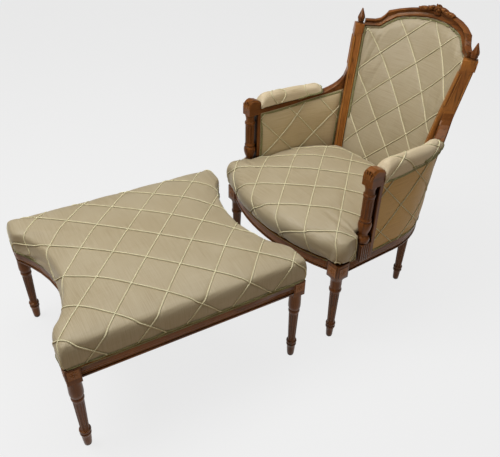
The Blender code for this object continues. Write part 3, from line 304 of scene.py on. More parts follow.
@dataclass(frozen=True)
class WaxedBeech:
    """Reddish stained beech under old wax: painted shade darkens the hollows, and wear leaves the edges
    light.
    """

    name: str = "waxed_beech"
    grain: Grain = Grain.UPRIGHT
    deep: Colour = (0.014, 0.0042, 0.0013)
    body: Colour = (0.150, 0.0460, 0.0105)
    worn: Colour = (0.430, 0.1650, 0.0360)

    def make(self) -> bpy.types.Material:
        """Builds the material.

        Returns:
            The material.
        """
        graph = Graph("%s_%s" % (self.name, self.grain.name.lower()))
        place = graph.place()
        along = graph.stretched(place, self.grain.value)
        fibre = graph.noise(along, 3.2, 7.0, Roughness=0.62, Distortion=0.35)
        cloud = graph.noise(place, 11.0, 3.0)
        pore = graph.noise(along, 16.0, 2.0)
        tone = graph.ramp(fibre, ((0.30, self.deep), (0.47, self.body), (0.62, self.body),
                                  (0.80, self.worn)))
        patchy = graph.blend(graph.span(cloud, 0.0, 0.30, (0.42, 0.70)), tone, self.worn)
        # Painted shade: the wood is darkened towards the deep tone in hollows, grooves and between parts.
        hollow = graph.openness(0.014)
        edge = graph.openness(0.0035, inside=True)
        darkened_tone = graph.blend(graph.span(hollow, 0.95, 0.0, (0.42, 1.0)), patchy, self.deep)
        rubbed = graph.blend(graph.span(edge, 0.50, 0.0, (0.20, 0.70)), darkened_tone, self.worn)
        graph.set(Base_Color=rubbed, Roughness=graph.span(fibre, 0.24, 0.42),
                  Normal=graph.bump(pore, 0.16, 0.0006), Coat_Weight=0.12, Coat_Roughness=0.16,
                  Specular_IOR_Level=0.24, Specular_Tint=(1.0, 0.70, 0.42))
        return graph.material


@dataclass(frozen=True)
class Silk:
    """Ribbed silk with fine slubs across, a soft sheen, a slightly faded ground and painted shade in its
    creases.
    """

    name: str = "trellis_silk"
    shade: Colour = (0.285, 0.218, 0.118)
    ground: Colour = (0.400, 0.325, 0.200)
    light: Colour = (0.470, 0.400, 0.270)
    ribs: float = 900.0
    layer: str = "cut"

    def make(self) -> bpy.types.Material:
        """Builds the material, which reads the piece's own cut layer in metres.

        Returns:
            The material.
        """
        graph = Graph(self.name)
        cut = graph.add("UVMap", uv_map=self.layer).outputs["UV"]
        slub = graph.noise(graph.stretched(cut, (9.0, 420.0, 1.0)), 1.0, 3.0, Roughness=0.7)
        warp = graph.noise(graph.stretched(cut, (500.0, 7.0, 1.0)), 1.0, 2.0)
        fade = graph.noise(graph.place(), 5.5, 3.0)
        ribs = graph.wave(cut, self.ribs, 1.5, "Y", Detail=1.0, Detail_Scale=2.0)
        tone = graph.ramp(slub, ((0.22, self.shade), (0.50, self.ground), (0.80, self.light)))
        faded = graph.blend(graph.span(fade, 0.0, 0.55, (0.35, 0.70)), tone, self.light)
        threads = graph.blend(graph.span(warp, 0.0, 0.16, (0.35, 0.75)), faded, self.shade)
        # Painted shade: the silk is darkened towards its shade colour in creases and where it meets other
        # parts.
        crease_shade_mask = graph.openness(0.012)
        crease_shaded = graph.blend(graph.span(crease_shade_mask, 0.42, 0.0, (0.40, 0.92)), threads, self.shade)
        relief = graph.bump(slub, 0.22, 0.0007, graph.bump(ribs, 0.12, 0.0004))
        graph.set(Base_Color=crease_shaded, Roughness=graph.span(slub, 0.44, 0.62), Normal=relief,
                  Sheen_Weight=0.38, Sheen_Roughness=0.32, Sheen_Tint=(0.93, 0.93, 0.80),
                  Specular_IOR_Level=0.45)
        return graph.material


@dataclass(frozen=True)
class Yarn:
    """Twisted yarn or braid: short stripes of light and shadow over a matt thread."""

    name: str
    dark: Colour
    light: Colour
    pitch: float = 520.0

    def make(self) -> bpy.types.Material:
        """Builds the material.

        Returns:
            The material.
        """
        graph = Graph(self.name)
        place = graph.place()
        twist = graph.wave(place, self.pitch, 2.0, "DIAGONAL", Detail=1.0)
        wear = graph.noise(place, 38.0, 3.0)
        tone = graph.ramp(twist, ((0.10, self.dark), (0.55, self.light)))
        worn = graph.blend(graph.span(wear, 0.0, 0.35, (0.40, 0.70)), tone, self.dark)
        graph.set(Base_Color=worn, Roughness=graph.span(wear, 0.60, 0.80),
                  Normal=graph.bump(twist, 0.35, 0.0005), Sheen_Weight=0.15)
        return graph.material


@dataclass(frozen=True)
class Hessian:
    """Coarse plain-woven jute: crossing yarns with shadow between them."""

    name: str = "hessian"
    dark: Colour = (0.110, 0.070, 0.030)
    light: Colour = (0.420, 0.310, 0.160)
    pitch: float = 150.0

    def make(self) -> bpy.types.Material:
        """Builds the material.

        Returns:
            The material.
        """
        graph = Graph(self.name)
        place = graph.place()
        weft = graph.wave(place, self.pitch, 1.2, "X")
        warp = graph.wave(place, self.pitch, 1.2, "Y")
        weave = graph.math("MULTIPLY", weft, warp)
        hair = graph.noise(place, 90.0, 4.0)
        tone = graph.ramp(weave, ((0.05, self.dark), (0.60, self.light)))
        darkened_tone = graph.blend(graph.span(hair, 0.0, 0.5, (0.4, 0.7)), tone, self.dark)
        graph.set(Base_Color=darkened_tone, Roughness=graph.span(hair, 0.82, 0.95),
                  Normal=graph.bump(weave, 0.5, 0.001))
        return graph.material


BEECH_UPRIGHT = WaxedBeech(grain=Grain.UPRIGHT)
BEECH_ACROSS = WaxedBeech(grain=Grain.ACROSS)
BEECH_LENGTHWISE = WaxedBeech(grain=Grain.LENGTHWISE)
# A lighter copy of the beech, used on the stiles and their beads.
PALE_STILE_BEECH = WaxedBeech(name="pale_stile_beech", deep=(0.024, 0.0075, 0.0020), body=(0.300, 0.1020, 0.0210),
                         worn=(0.600, 0.2600, 0.0620))
# Painted shade: a near-black copy of the beech for the down-facing undersides of the rails.
UNDERSIDE_SHADE_BEECH = WaxedBeech(name="painted_shade_underside", deep=(0.008, 0.0030, 0.0012), body=(0.036, 0.0140, 0.0050),
                        worn=(0.070, 0.0300, 0.0120))
SEAT_SILK = Silk()
OUTER_SILK = Silk(name="outer_silk", shade=(0.420, 0.235, 0.065), ground=(0.620, 0.385, 0.120),
                  light=(0.700, 0.470, 0.180))
# Painted light: a lighter copy of the silk for the inner sides, which stands in for light the shaded inner
# pads don't get.
INNER_SILK_PAINTED_LIGHT = Silk(name="inner_side_silk_painted_light", shade=(0.440, 0.330, 0.165), ground=(0.600, 0.470, 0.270),
                  light=(0.680, 0.560, 0.350))
# Painted light: a lighter copy of the silk for the arm pads, which stands in for light on their rounded
# faces.
ARM_SILK_PAINTED_LIGHT = Silk(name="arm_silk", shade=(0.450, 0.350, 0.195), ground=(0.650, 0.525, 0.335),
                light=(0.720, 0.610, 0.425))
CORD = Yarn("cream_cord", (0.520, 0.455, 0.260), (0.840, 0.780, 0.520))
BRAID = Yarn("gold_green_braid", (0.120, 0.110, 0.035), (0.420, 0.390, 0.170), 330.0)
JUTE = Hessian(name="jute_webbing", pitch=110.0)
HESSIAN = Hessian()

SIDES = (("left", 1.0), ("right", -1.0))


class Finishes:
    """Makes each finish once and hands out the material."""

    def __init__(self) -> None:
        """Starts with no material made."""
        self.made: Dict[str, bpy.types.Material] = {}

    def get(self, finish: object) -> bpy.types.Material:
        """The material of a finish, made when first asked for.

        Args:
            finish: The finish.

        Returns:
            Its material.
        """
        key = repr(finish)
        if key not in self.made:
            self.made[key] = finish.make()
        return self.made[key]

    def dress(self, item: Item, finish: object) -> None:
        """Puts a finish on every slot of an object.

        Args:
            item: The object.
            finish: The finish.
        """
        material = self.get(finish)
        if not item.data.materials:
            item.data.materials.append(material)
        for index in range(len(item.data.materials)):
            item.data.materials[index] = material


@dataclass
class Craft:
    """Work on the set, which knows where things stand and what finishes there are."""

    setting: Setting
    finishes: Finishes


# Handwork shared by the classes

def deselect() -> None:
    """Leaves edit mode and selects nothing."""
    if bpy.context.view_layer.objects.active and bpy.context.object and bpy.context.object.mode != "OBJECT":
        bpy.ops.object.mode_set(mode="OBJECT")
    bpy.ops.object.select_all(action="DESELECT")


def activate(item: Item) -> None:
    """Selects one object and makes it active.

    Args:
        item: The object.
    """
    deselect()
    item.select_set(True)
    bpy.context.view_layer.objects.active = item


@contextmanager
def editing(item: Item, action: str = "SELECT") -> Iterator[None]:
    """Edit mode on one object.

    Args:
        item: The object.
        action: Whether all of it or nothing is selected at first.

    Yields:
        Nothing.
    """
    activate(item)
    bpy.ops.object.mode_set(mode="EDIT")
    bpy.ops.mesh.select_all(action=action)
    yield
    bpy.ops.object.mode_set(mode="OBJECT")


def pick_faces(item: Item, rule: Callable[[bmesh.types.BMFace], bool]) -> None:
    """Selects the faces that a rule names, in edit mode.

    Args:
        item: The object.
        rule: Whether a face is selected.
    """
    work = bmesh.from_edit_mesh(item.data)
    for face in work.faces:
        face.select_set(rule(face))
    bmesh.update_edit_mesh(item.data)


def modify(item: Item, kind: str, **settings: object) -> None:
    """Adds a modifier and applies it.

    Args:
        item: The object.
        kind: The modifier's type.
        **settings: Its settings.
    """
    activate(item)
    bpy.ops.object.modifier_add(type=kind)
    modifier = item.modifiers[-1]
    for key, value in settings.items():
        setattr(modifier, key, value)
    bpy.ops.object.modifier_apply(modifier=modifier.name)


def settle(item: Item) -> None:
    """Puts an object's place into its mesh, with its origin at the world's."""
    activate(item)
    bpy.ops.object.transform_apply(location=True, rotation=True, scale=True)


def join(items: Sequence[Item], name: str) -> Item:
    """Joins objects into the first one.

    Args:
        items: The objects.
        name: The joined piece's name.

    Returns:
        The joined piece.
    """
    deselect()
    for item in items:
        item.select_set(True)
    bpy.context.view_layer.objects.active = items[0]
    if len(items) > 1:
        bpy.ops.object.join()
    items[0].name = name
    items[0].data.name = name
    return items[0]


def smooth(item: Item, degrees: float = 40.0) -> None:
    """Shades an object smooth up to an edge angle."""
    activate(item)
    bpy.ops.object.shade_smooth_by_angle(angle=math.radians(degrees))


def outward(item: Item) -> None:
    """Merges doubles and turns all faces outwards.

    Args:
        item: The object.
    """
    with editing(item):
        bpy.ops.mesh.remove_doubles(threshold=0.00004)
        bpy.ops.mesh.normals_make_consistent(inside=False)


def fit_subdivision(item: Item, levels: int, rounds: int = 6, limit: float = 0.012) -> None:
    """Subdivides a mesh so that the smooth surface still passes through its points.

    Args:
        item: The object.
        levels: How often each quad is divided.
        rounds: How often the control points are corrected.
        limit: How far a control point may move, in metres.
    """
    mesh = item.data
    goal = points_of(mesh)
    control = goal.copy()
    activate(item)
    bpy.ops.object.modifier_add(type="SUBSURF")
    item.modifiers[-1].levels = levels
    item.modifiers[-1].render_levels = levels
    for _ in range(rounds):
        put_points(mesh, control)
        bpy.context.view_layer.update()
        shaped = points_of(item.evaluated_get(bpy.context.evaluated_depsgraph_get()).data)[:len(goal)]
        control += goal - shaped
        control = goal + np.clip(control - goal, -limit, limit)
    put_points(mesh, control)
    bpy.ops.object.modifier_apply(modifier=item.modifiers[-1].name)


def dissolve_cap(item: Item, middle: Vector, reach: float) -> None:
    """Turns the loose triangles in the middle of a pad, above and below, into one face each.

    Args:
        item: The object.
        middle: The pad's middle, of which only X and Y count.
        reach: How far the face's corners lie from it at most.
    """
    lowest = points_of(item.data)[:, 2].min() + 0.0005
    for rule in (lambda face: face.normal.z > 0.4 and all((vertex.co - middle).xy.length < reach
                                                          for vertex in face.verts),
                 lambda face: all(vertex.co.z < lowest for vertex in face.verts)):
        with editing(item, "DESELECT"):
            pick_faces(item, rule)
            bpy.ops.mesh.dissolve_faces()


def copy_of(node: str, name: str) -> Item:
    """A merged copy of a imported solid, with its triangles joined to quads.

    Args:
        node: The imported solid.
        name: The copy's name.

    Returns:
        The copy.
    """
    source = frame["nodes"][node]
    mesh = source.data.copy()
    mesh.transform(source.matrix_world)
    mesh.materials.clear()
    item = bpy.data.objects.new(name, mesh)
    bpy.context.scene.collection.objects.link(item)
    outward(item)
    with editing(item):
        bpy.ops.mesh.tris_convert_to_quads(face_threshold=math.radians(60.0),
                                           shape_threshold=math.radians(70.0))
    return item


def points_of(mesh: bpy.types.Mesh) -> Array:
    """Where a mesh's vertices lie.

    Args:
        mesh: The mesh.

    Returns:
        One row for each vertex.
    """
    flat = np.empty(len(mesh.vertices) * 3)
    mesh.vertices.foreach_get("co", flat)
    return flat.reshape(-1, 3)


def normals_of(mesh: bpy.types.Mesh) -> Array:
    """Which way a mesh's vertices face.

    Args:
        mesh: The mesh.

    Returns:
        One row for each vertex.
    """
    flat = np.empty(len(mesh.vertices) * 3)
    mesh.vertex_normals.foreach_get("vector", flat)
    return flat.reshape(-1, 3)


def put_points(mesh: bpy.types.Mesh, points: Array) -> None:
    """Writes vertex positions back."""
    mesh.vertices.foreach_set("co", points.ravel())
    mesh.update()


def tree_of(node: str) -> BVHTree:
    """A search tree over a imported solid.

    Args:
        node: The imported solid.

    Returns:
        The tree.
    """
    source = frame["nodes"][node]
    place = source.matrix_world
    return BVHTree.FromPolygons([place @ vertex.co for vertex in source.data.vertices],
                                [tuple(face.vertices) for face in source.data.polygons])


def near_any(points: Array, nodes: Iterable[str], reach: float) -> Array:
    """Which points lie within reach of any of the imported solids.

    Args:
        points: The points.
        nodes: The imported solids.
        reach: How near counts.

    Returns:
        One truth value for each point.
    """
    close = np.zeros(len(points), dtype=bool)
    for node in nodes:
        tree = tree_of(node)
        for index in np.flatnonzero(~close):
            if tree.find_nearest(Vector(points[index]), reach)[0] is not None:
                close[index] = True
    return close


# Lines drawn on a surface

class Tracer:
    """Follows lines of equal value over a mesh."""

    def __init__(self, mesh: bpy.types.Mesh, keep: Array) -> None:
        """Reads the mesh once.

        Args:
            mesh: The surface.
            keep: Which vertices the lines may pass.
        """
        mesh.calc_loop_triangles()
        flat = np.empty(len(mesh.loop_triangles) * 3, dtype=np.int64)
        mesh.loop_triangles.foreach_get("vertices", flat)
        triangles = flat.reshape(-1, 3)
        self.triangles = triangles[keep[triangles].all(axis=1)]
        self.points = points_of(mesh)
        self.normals = normals_of(mesh)

    def lines(self, values: Array, level: float) -> List[Line]:
        """Lines where the values pass a level.

        Args:
            values: One number for each vertex.
            level: The number to follow.

        Returns:
            Lines as arrays of points and of normals.
        """
        above = values > level
        corner = above[self.triangles]
        crossed = self.triangles[corner.any(axis=1) & ~corner.all(axis=1)]
        links: Dict[Tuple[int, int], List[Tuple[int, int]]] = {}
        for a, b, c in crossed:
            ends = [(min(i, j), max(i, j)) for i, j in ((a, b), (b, c), (c, a)) if above[i] != above[j]]
            links.setdefault(ends[0], []).append(ends[1])
            links.setdefault(ends[1], []).append(ends[0])
        found: List[Line] = []
        while links:
            start = next((edge for edge, near in links.items() if len(near) == 1), next(iter(links)))
            chain = [start]
            here = start
            while links.get(here):
                there = links[here].pop()
                if here in links.get(there, []):
                    links[there].remove(here)
                if not links[here]:
                    del links[here]
                chain.append(there)
                here = there
            links.pop(here, None)
            if len(chain) > 3:
                found.append(self._place(chain, values, level))
        return found

    def _place(self, chain: List[Tuple[int, int]], values: Array, level: float) -> Line:
        """Turns a chain of crossed edges into points and normals.

        Args:
            chain: Pairs of vertices.
            values: One number for each vertex.
            level: The number followed.

        Returns:
            Points and normals.
        """
        low = np.array([edge[0] for edge in chain])
        high = np.array([edge[1] for edge in chain])
        share = ((level - values[low]) / (values[high] - values[low]))[:, None]
        points = self.points[low] * (1.0 - share) + self.points[high] * share
        normals = self.normals[low] * (1.0 - share) + self.normals[high] * share
        return points, normals


def run_of(points: Array) -> float:
    """How long a line is."""
    return float(np.linalg.norm(np.diff(points, axis=0), axis=1).sum())


def resample(line: Line, step: float, rounds: int = 2) -> Optional[Line]:
    """Evens out a line's spacing and takes out its jitter.

    Args:
        line: Points and normals.
        step: Spacing in metres.
        rounds: How often it is averaged.

    Returns:
        The evened line, or None where it is too short.
    """
    points, normals = line
    closed = np.linalg.norm(points[0] - points[-1]) < 0.012 and len(points) > 30
    for _ in range(rounds):
        inner = (points[:-2] + 2.0 * points[1:-1] + points[2:]) / 4.0
        points = np.concatenate((points[:1], inner, points[-1:]))
    if closed:
        points = np.concatenate((points, points[:1]))
        normals = np.concatenate((normals, normals[:1]))
    way = np.concatenate(([0.0], np.cumsum(np.linalg.norm(np.diff(points, axis=0), axis=1))))
    if way[-1] < 4.0 * step:
        return None
    count = max(3, int(round(way[-1] / step)) + 1)
    stops = np.linspace(0.0, way[-1], count)
    evened = np.stack([np.interp(stops, way, points[:, axis]) for axis in range(3)], axis=1)
    facing = np.stack([np.interp(stops, way, normals[:, axis]) for axis in range(3)], axis=1)
    for _ in range(2):
        inner = (evened[:-2] + 2.0 * evened[1:-1] + evened[2:]) / 4.0
        evened = np.concatenate((evened[:1], inner, evened[-1:]))
    facing /= np.linalg.norm(facing, axis=1)[:, None]
    return evened, facing


def cords_along(name: str, lines: Sequence[Array], radius: float, sides: int = 1) -> Item:
    """Round cords along lines, as one mesh.

    Args:
        name: The piece's name.
        lines: Rows of points.
        radius: Half the cord's thickness.
        sides: How round it is.

    Returns:
        The cords.
    """
    curve = bpy.data.curves.new(name, "CURVE")
    curve.dimensions = "3D"
    curve.bevel_depth = radius
    curve.bevel_resolution = sides
    curve.use_fill_caps = True
    for points in lines:
        spline = curve.splines.new("POLY")
        spline.points.add(len(points) - 1)
        spline.points.foreach_set("co", np.column_stack((points, np.ones(len(points)))).ravel())
    item = bpy.data.objects.new(name, curve)
    bpy.context.scene.collection.objects.link(item)
    activate(item)
    bpy.ops.object.convert(target="MESH")
    item = bpy.context.object
    bpy.ops.object.shade_smooth()
    return item


# Soft work

@dataclass(frozen=True)
class Trellis:
    """The crossed cords: a slanting lattice on the flat cut of the silk, in metres."""

    start: Tuple[float, float]
    first: Tuple[float, float]
    second: Tuple[float, float]

    def cells(self, cut: Array) -> Array:
        """Counts of cells along both families of cords at points of the cut."""
        basis = np.array([self.first, self.second]).T
        return (cut - np.array(self.start)) @ np.linalg.inv(basis).T

    def spacing(self) -> Tuple[float, float]:
        """Distance between neighbouring cords of each family.

        Returns:
            Both distances, in metres.
        """
        a, b = np.array(self.first), np.array(self.second)
        area = abs(a[0] * b[1] - a[1] * b[0])
        return area / float(np.linalg.norm(b)), area / float(np.linalg.norm(a))


SEAT_TRELLIS = Trellis((-0.3474, -0.1684), (0.0840, 0.0696), (0.0724, -0.0838))
STOOL_TRELLIS = Trellis((-0.4645, -0.1271), (0.0762, 0.0789), (0.0893, -0.0815))
BACK_TRELLIS = Trellis((-0.3177, 0.8409), (0.0745, 0.0761), (0.0850, -0.0773))
SIDE_TRELLIS = Trellis((0.2450, 0.5893), (0.0860, 0.0780), (0.0880, -0.0900))
PANEL_TRELLIS = Trellis((0.1988, 0.5015), (0.0800, 0.0830), (0.0880, -0.0870))


def distance_to_edges(node: str, points: Array, far: float) -> Array:
    """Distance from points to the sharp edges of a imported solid.

    Args:
        node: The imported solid.
        points: Where to measure.
        far: The value beyond which a distance doesn't matter.

    Returns:
        One distance for each point, never more than far.
    """
    solid = copy_of(node, node + "_edges")
    work = bmesh.new()
    work.from_mesh(solid.data)
    marks: List[Vector] = []
    for edge in work.edges:
        if len(edge.link_faces) == 2 and edge.calc_face_angle(0.0) > math.radians(52.0):
            count = max(1, int(edge.calc_length() / 0.0015))
            marks += [edge.verts[0].co.lerp(edge.verts[1].co, step / count) for step in range(count + 1)]
    work.free()
    bpy.data.objects.remove(solid, do_unlink=True)
    finder = KDTree(len(marks))
    for index, mark in enumerate(marks):
        finder.insert(mark, index)
    finder.balance()
    return np.array([min(far, finder.find(Vector(point))[2]) for point in points])


@dataclass(frozen=True)
class Blowing:
    """How a cover is blown up as cloth."""

    quality: int = 4
    mass: float = 0.25
    stiffness: float = 12.0
    bending: float = 0.6
    pressure: float = 4.0
    frames: int = 20


@dataclass
class Quilt:
    """One stuffed pad: its solid, its trellis and how it is sewn."""

    node: str
    body: Body
    trellis: Trellis
    cut: Rule
    cordless: Rule
    silk: Silk = SEAT_SILK
    neighbours: Tuple[str, ...] = ()
    crease: float = 0.75
    crease_angle: float = 50.0
    levels: int = 3
    voxel: float = 0.0
    pinned: Optional[Rule] = None
    cap: float = 0.004
    puff: float = 0.0026
    tuck: float = 0.0014
    cord_radius: float = 0.0021
    fill: float = 0.75
    cap_reach: float = 0.0
    border: Optional[Rule] = None
    border_inset: float = 0.0060
    border_least: float = 0.02
    crown: Tuple[Tuple[float, float], ...] = ()
    roll: float = 0.0
    roll_reach: float = 0.026
    touch: float = 0.0035
    held_reach: float = 0.008
    groove: float = 0.0055
    cord_step: float = 0.005
    blowing: Blowing = Blowing()

    def build(self, finishes: Finishes) -> Item:
        """Makes the pad and its cords.

        Args:
            finishes: Where the materials come from.

        Returns:
            The pad.
        """
        pad = self._shape()
        mesh = pad.data
        points, normals = points_of(mesh), normals_of(mesh)
        cut = self.cut(points, normals)
        cells = self.trellis.cells(cut)
        bare = self.cordless(points, normals)
        if self.neighbours:
            bare |= near_any(points, self.neighbours, self.touch)
        self._sew(mesh, points, normals, cells, bare)
        self._lay_out(mesh, cut)
        smooth(pad, 60.0)
        finishes.dress(pad, self.silk)
        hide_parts(self.node)
        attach(pad, self.body.value)
        if self.border:
            self._edge(pad, finishes)
        cords = self._cords(mesh, cells, bare)
        if cords:
            finishes.dress(cords, CORD)
            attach(cords, self.body.value)
        LOG.info("%s: %d vertices", pad.name, len(mesh.vertices))
        return pad

    def _shape(self) -> Item:
        """The stuffed form: the solid's quads subdivided, and blown up a little as cloth.

        Returns:
            The form.
        """
        pad = copy_of(self.node, self.node + "_silk")
        if self.cap_reach:
            dissolve_cap(pad, node_middle(self.node), self.cap_reach)
        work = bmesh.new()
        work.from_mesh(pad.data)
        layer = work.edges.layers.float.new("crease_edge")
        for edge in work.edges:
            if len(edge.link_faces) == 2 and edge.calc_face_angle(0.0) > math.radians(self.crease_angle):
                edge[layer] = self.crease
        work.to_mesh(pad.data)
        work.free()
        fit_subdivision(pad, self.levels)
        if self.crown:
            self._plump(pad.data)
        if self.voxel:
            modify(pad, "REMESH", mode="VOXEL", voxel_size=self.voxel, use_smooth_shade=True)
            self._inflate(pad)
            modify(pad, "SUBSURF", levels=1, render_levels=1)
        return pad

    def _plump(self, mesh: bpy.types.Mesh) -> None:
        """Raises the shoulders, so that the sides stand up as the stuffing makes them.

        Args:
            mesh: The pad's mesh.
        """
        points = points_of(mesh)
        base = points[:, 2].min()
        before, after = (list(heights) for heights in zip(*self.crown))
        points[:, 2] = base + np.interp(points[:, 2] - base, before, after)
        put_points(mesh, points)

    def _inflate(self, pad: Item) -> None:
        """Blows the cover up as cloth, holding it where it is tacked down.

        Args:
            pad: The pad, whose mesh is changed.
        """
        mesh = pad.data
        start = points_of(mesh)
        held = self.pinned(start, normals_of(mesh)) if self.pinned else np.zeros(len(start), dtype=bool)
        if self.neighbours:
            held |= near_any(start, self.neighbours, self.held_reach)
        group = pad.vertex_groups.new(name="tacked")
        group.add([int(index) for index in np.flatnonzero(held)], 1.0, "REPLACE")
        activate(pad)
        bpy.ops.object.modifier_add(type="CLOTH")
        cloth = pad.modifiers[-1]
        cloth.settings.quality = self.blowing.quality
        cloth.settings.mass = self.blowing.mass
        cloth.settings.tension_stiffness = self.blowing.stiffness
        cloth.settings.compression_stiffness = self.blowing.stiffness
        cloth.settings.bending_stiffness = self.blowing.bending
        cloth.settings.use_pressure = True
        cloth.settings.uniform_pressure_force = self.blowing.pressure
        cloth.settings.effector_weights.gravity = 0.0
        cloth.settings.vertex_group_mass = group.name
        cloth.collision_settings.use_collision = False
        scene = bpy.context.scene
        for number in range(1, self.blowing.frames + 1):
            scene.frame_set(number)
        moved = points_of(pad.evaluated_get(bpy.context.evaluated_depsgraph_get()).data)
        pad.modifiers.remove(cloth)
        scene.frame_set(1)
        step = moved - start
        length = np.linalg.norm(step, axis=1)[:, None]
        step *= np.minimum(1.0, self.cap / np.maximum(length, 1e-9))
        put_points(mesh, start + step)
        pad.vertex_groups.clear()

    def _sew(self, mesh: bpy.types.Mesh, points: Array, normals: Array,
             cells: Array, bare: Array) -> None:
        """Tucks the silk in along the cords and lets it puff between them.

        Args:
            mesh: The pad's mesh.
            points: Its vertices.
            normals: Which way they face.
            cells: Their place in the trellis.
            bare: Which of them the trellis leaves out.
        """
        gaps = self.trellis.spacing()
        off = np.abs(cells - np.round(cells)) * np.array(gaps)
        groove = np.exp(-(off / self.groove) ** 2).max(axis=1)
        swell = np.abs(np.sin(math.pi * cells[:, 0]) * np.sin(math.pi * cells[:, 1])) ** 0.6
        free = np.where(bare, 0.0, 1.0)
        move = (self.puff * swell - self.tuck * groove - self.puff * 0.45) * free
        if self.roll:
            away = distance_to_edges(self.node, points, self.roll_reach)
            near = np.clip(1.0 - away / self.roll_reach, 0.0, 1.0)
            move -= self.roll * near ** 2 * free
        put_points(mesh, points + normals * move[:, None])

    def _lay_out(self, mesh: bpy.types.Mesh, cut: Array) -> None:
        """Writes the flat cut as a layer in metres.

        Args:
            mesh: The pad's mesh.
            cut: Each vertex's place on the flat cut.
        """
        layer = mesh.uv_layers.new(name="cut")
        corners = np.empty(len(mesh.loops), dtype=np.int64)
        mesh.loops.foreach_get("vertex_index", corners)
        layer.data.foreach_set("uv", cut[corners].ravel())

    def _edge(self, pad: Item, finishes: Finishes) -> None:
        """Lays braid just inside the pad's edge, where the rule lets it show.

        Args:
            pad: The pad.
            finishes: Where the material comes from.
        """
        mesh = pad.data
        points, normals = points_of(mesh), normals_of(mesh)
        shown = self.border(points, normals)
        away = distance_to_edges(self.node, points, self.border_inset * 4.0)
        lines = Tracer(mesh, shown).lines(away, self.border_inset)
        lines = [line for line in lines if len(line[0]) > 12 and run_of(line[0]) > self.border_least]
        if lines:
            BRAID_WORK.build(self.node + "_braid", lines, self.body, finishes)

    def _cords(self, mesh: bpy.types.Mesh, cells: Array, bare: Array) -> Optional[Item]:
        """Lays a cord along every line of the trellis.

        Args:
            mesh: The pad's mesh.
            cells: Each vertex's place in the trellis.
            bare: Which vertices the trellis leaves out.

        Returns:
            The cords, or None where there are none.
        """
        tracer = Tracer(mesh, ~bare)
        laid: List[Array] = []
        for family in (0, 1):
            values = cells[:, family]
            for level in range(int(math.floor(values.min())), int(math.ceil(values.max())) + 1):
                for line in tracer.lines(values, float(level)):
                    even = resample(line, self.cord_step)
                    if even:
                        lift = self.cord_radius * (1.05 if family else 0.60)
                        laid.append(even[0] + even[1] * lift)
        if not laid:
            return None
        return cords_along(self.node + "_cords", laid, self.cord_radius, 1)


@dataclass
class Braid:
    """Woven gimp: two waving strands over a flat tape."""

    width: float = 0.0095
    wave: float = 0.0100
    strand: float = 0.0012
    step: float = 0.0016
    lift: float = 0.0014
    relief: float = 0.0006

    def build(self, name: str, lines: Sequence[Line], body: Body, finishes: Finishes) -> Item:
        """Lays braid along lines.

        Args:
            name: The piece's name.
            lines: Points and normals.
            body: What it rides.
            finishes: Where the material comes from.

        Returns:
            The braid.
        """
        strands: List[Array] = []
        edges: List[Array] = []
        for line in lines:
            even = resample(line, self.step, 6)
            if even is None:
                continue
            points, normals = even
            for _ in range(12):
                normals[1:-1] = (normals[:-2] + 2.0 * normals[1:-1] + normals[2:]) / 4.0
            ahead = np.gradient(points, axis=0)
            ahead /= np.maximum(np.linalg.norm(ahead, axis=1)[:, None], 1e-9)
            across = np.cross(normals, ahead)
            across /= np.maximum(np.linalg.norm(across, axis=1)[:, None], 1e-9)
            way = np.arange(len(points)) * self.step
            reach = self.width / 2.0 - self.strand
            for phase in (0.0, math.pi):
                turn = math.tau * way / self.wave + phase
                side = np.sin(turn)[:, None] * reach
                rise = (self.lift + self.relief * np.cos(turn))[:, None]
                strands.append(points + across * side + normals * rise)
            edges.append((points + normals * (self.lift * 0.2))[::4])
        braid = cords_along(name, strands, self.strand, 0)
        tape = cords_along(name + "_tape", edges, self.width * 0.30, 1)
        whole = join([braid, tape], name)
        finishes.dress(whole, BRAID)
        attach(whole, body.value)
        LOG.info("%s: %d faces", name, len(whole.data.polygons))
        return whole


BRAID_WORK = Braid()
RAIL_GIMP = Braid(width=0.0068, wave=0.0084, strand=0.0010, lift=0.0006)


def below(level: float) -> Rule:
    """A rule for what lies below a level."""
    return lambda points, _normals: points[:, 2] < level


def underside(level: float) -> Rule:
    """A rule for what lies below a level or faces down."""
    return lambda points, normals: (points[:, 2] < level) | (normals[:, 2] < -0.85)


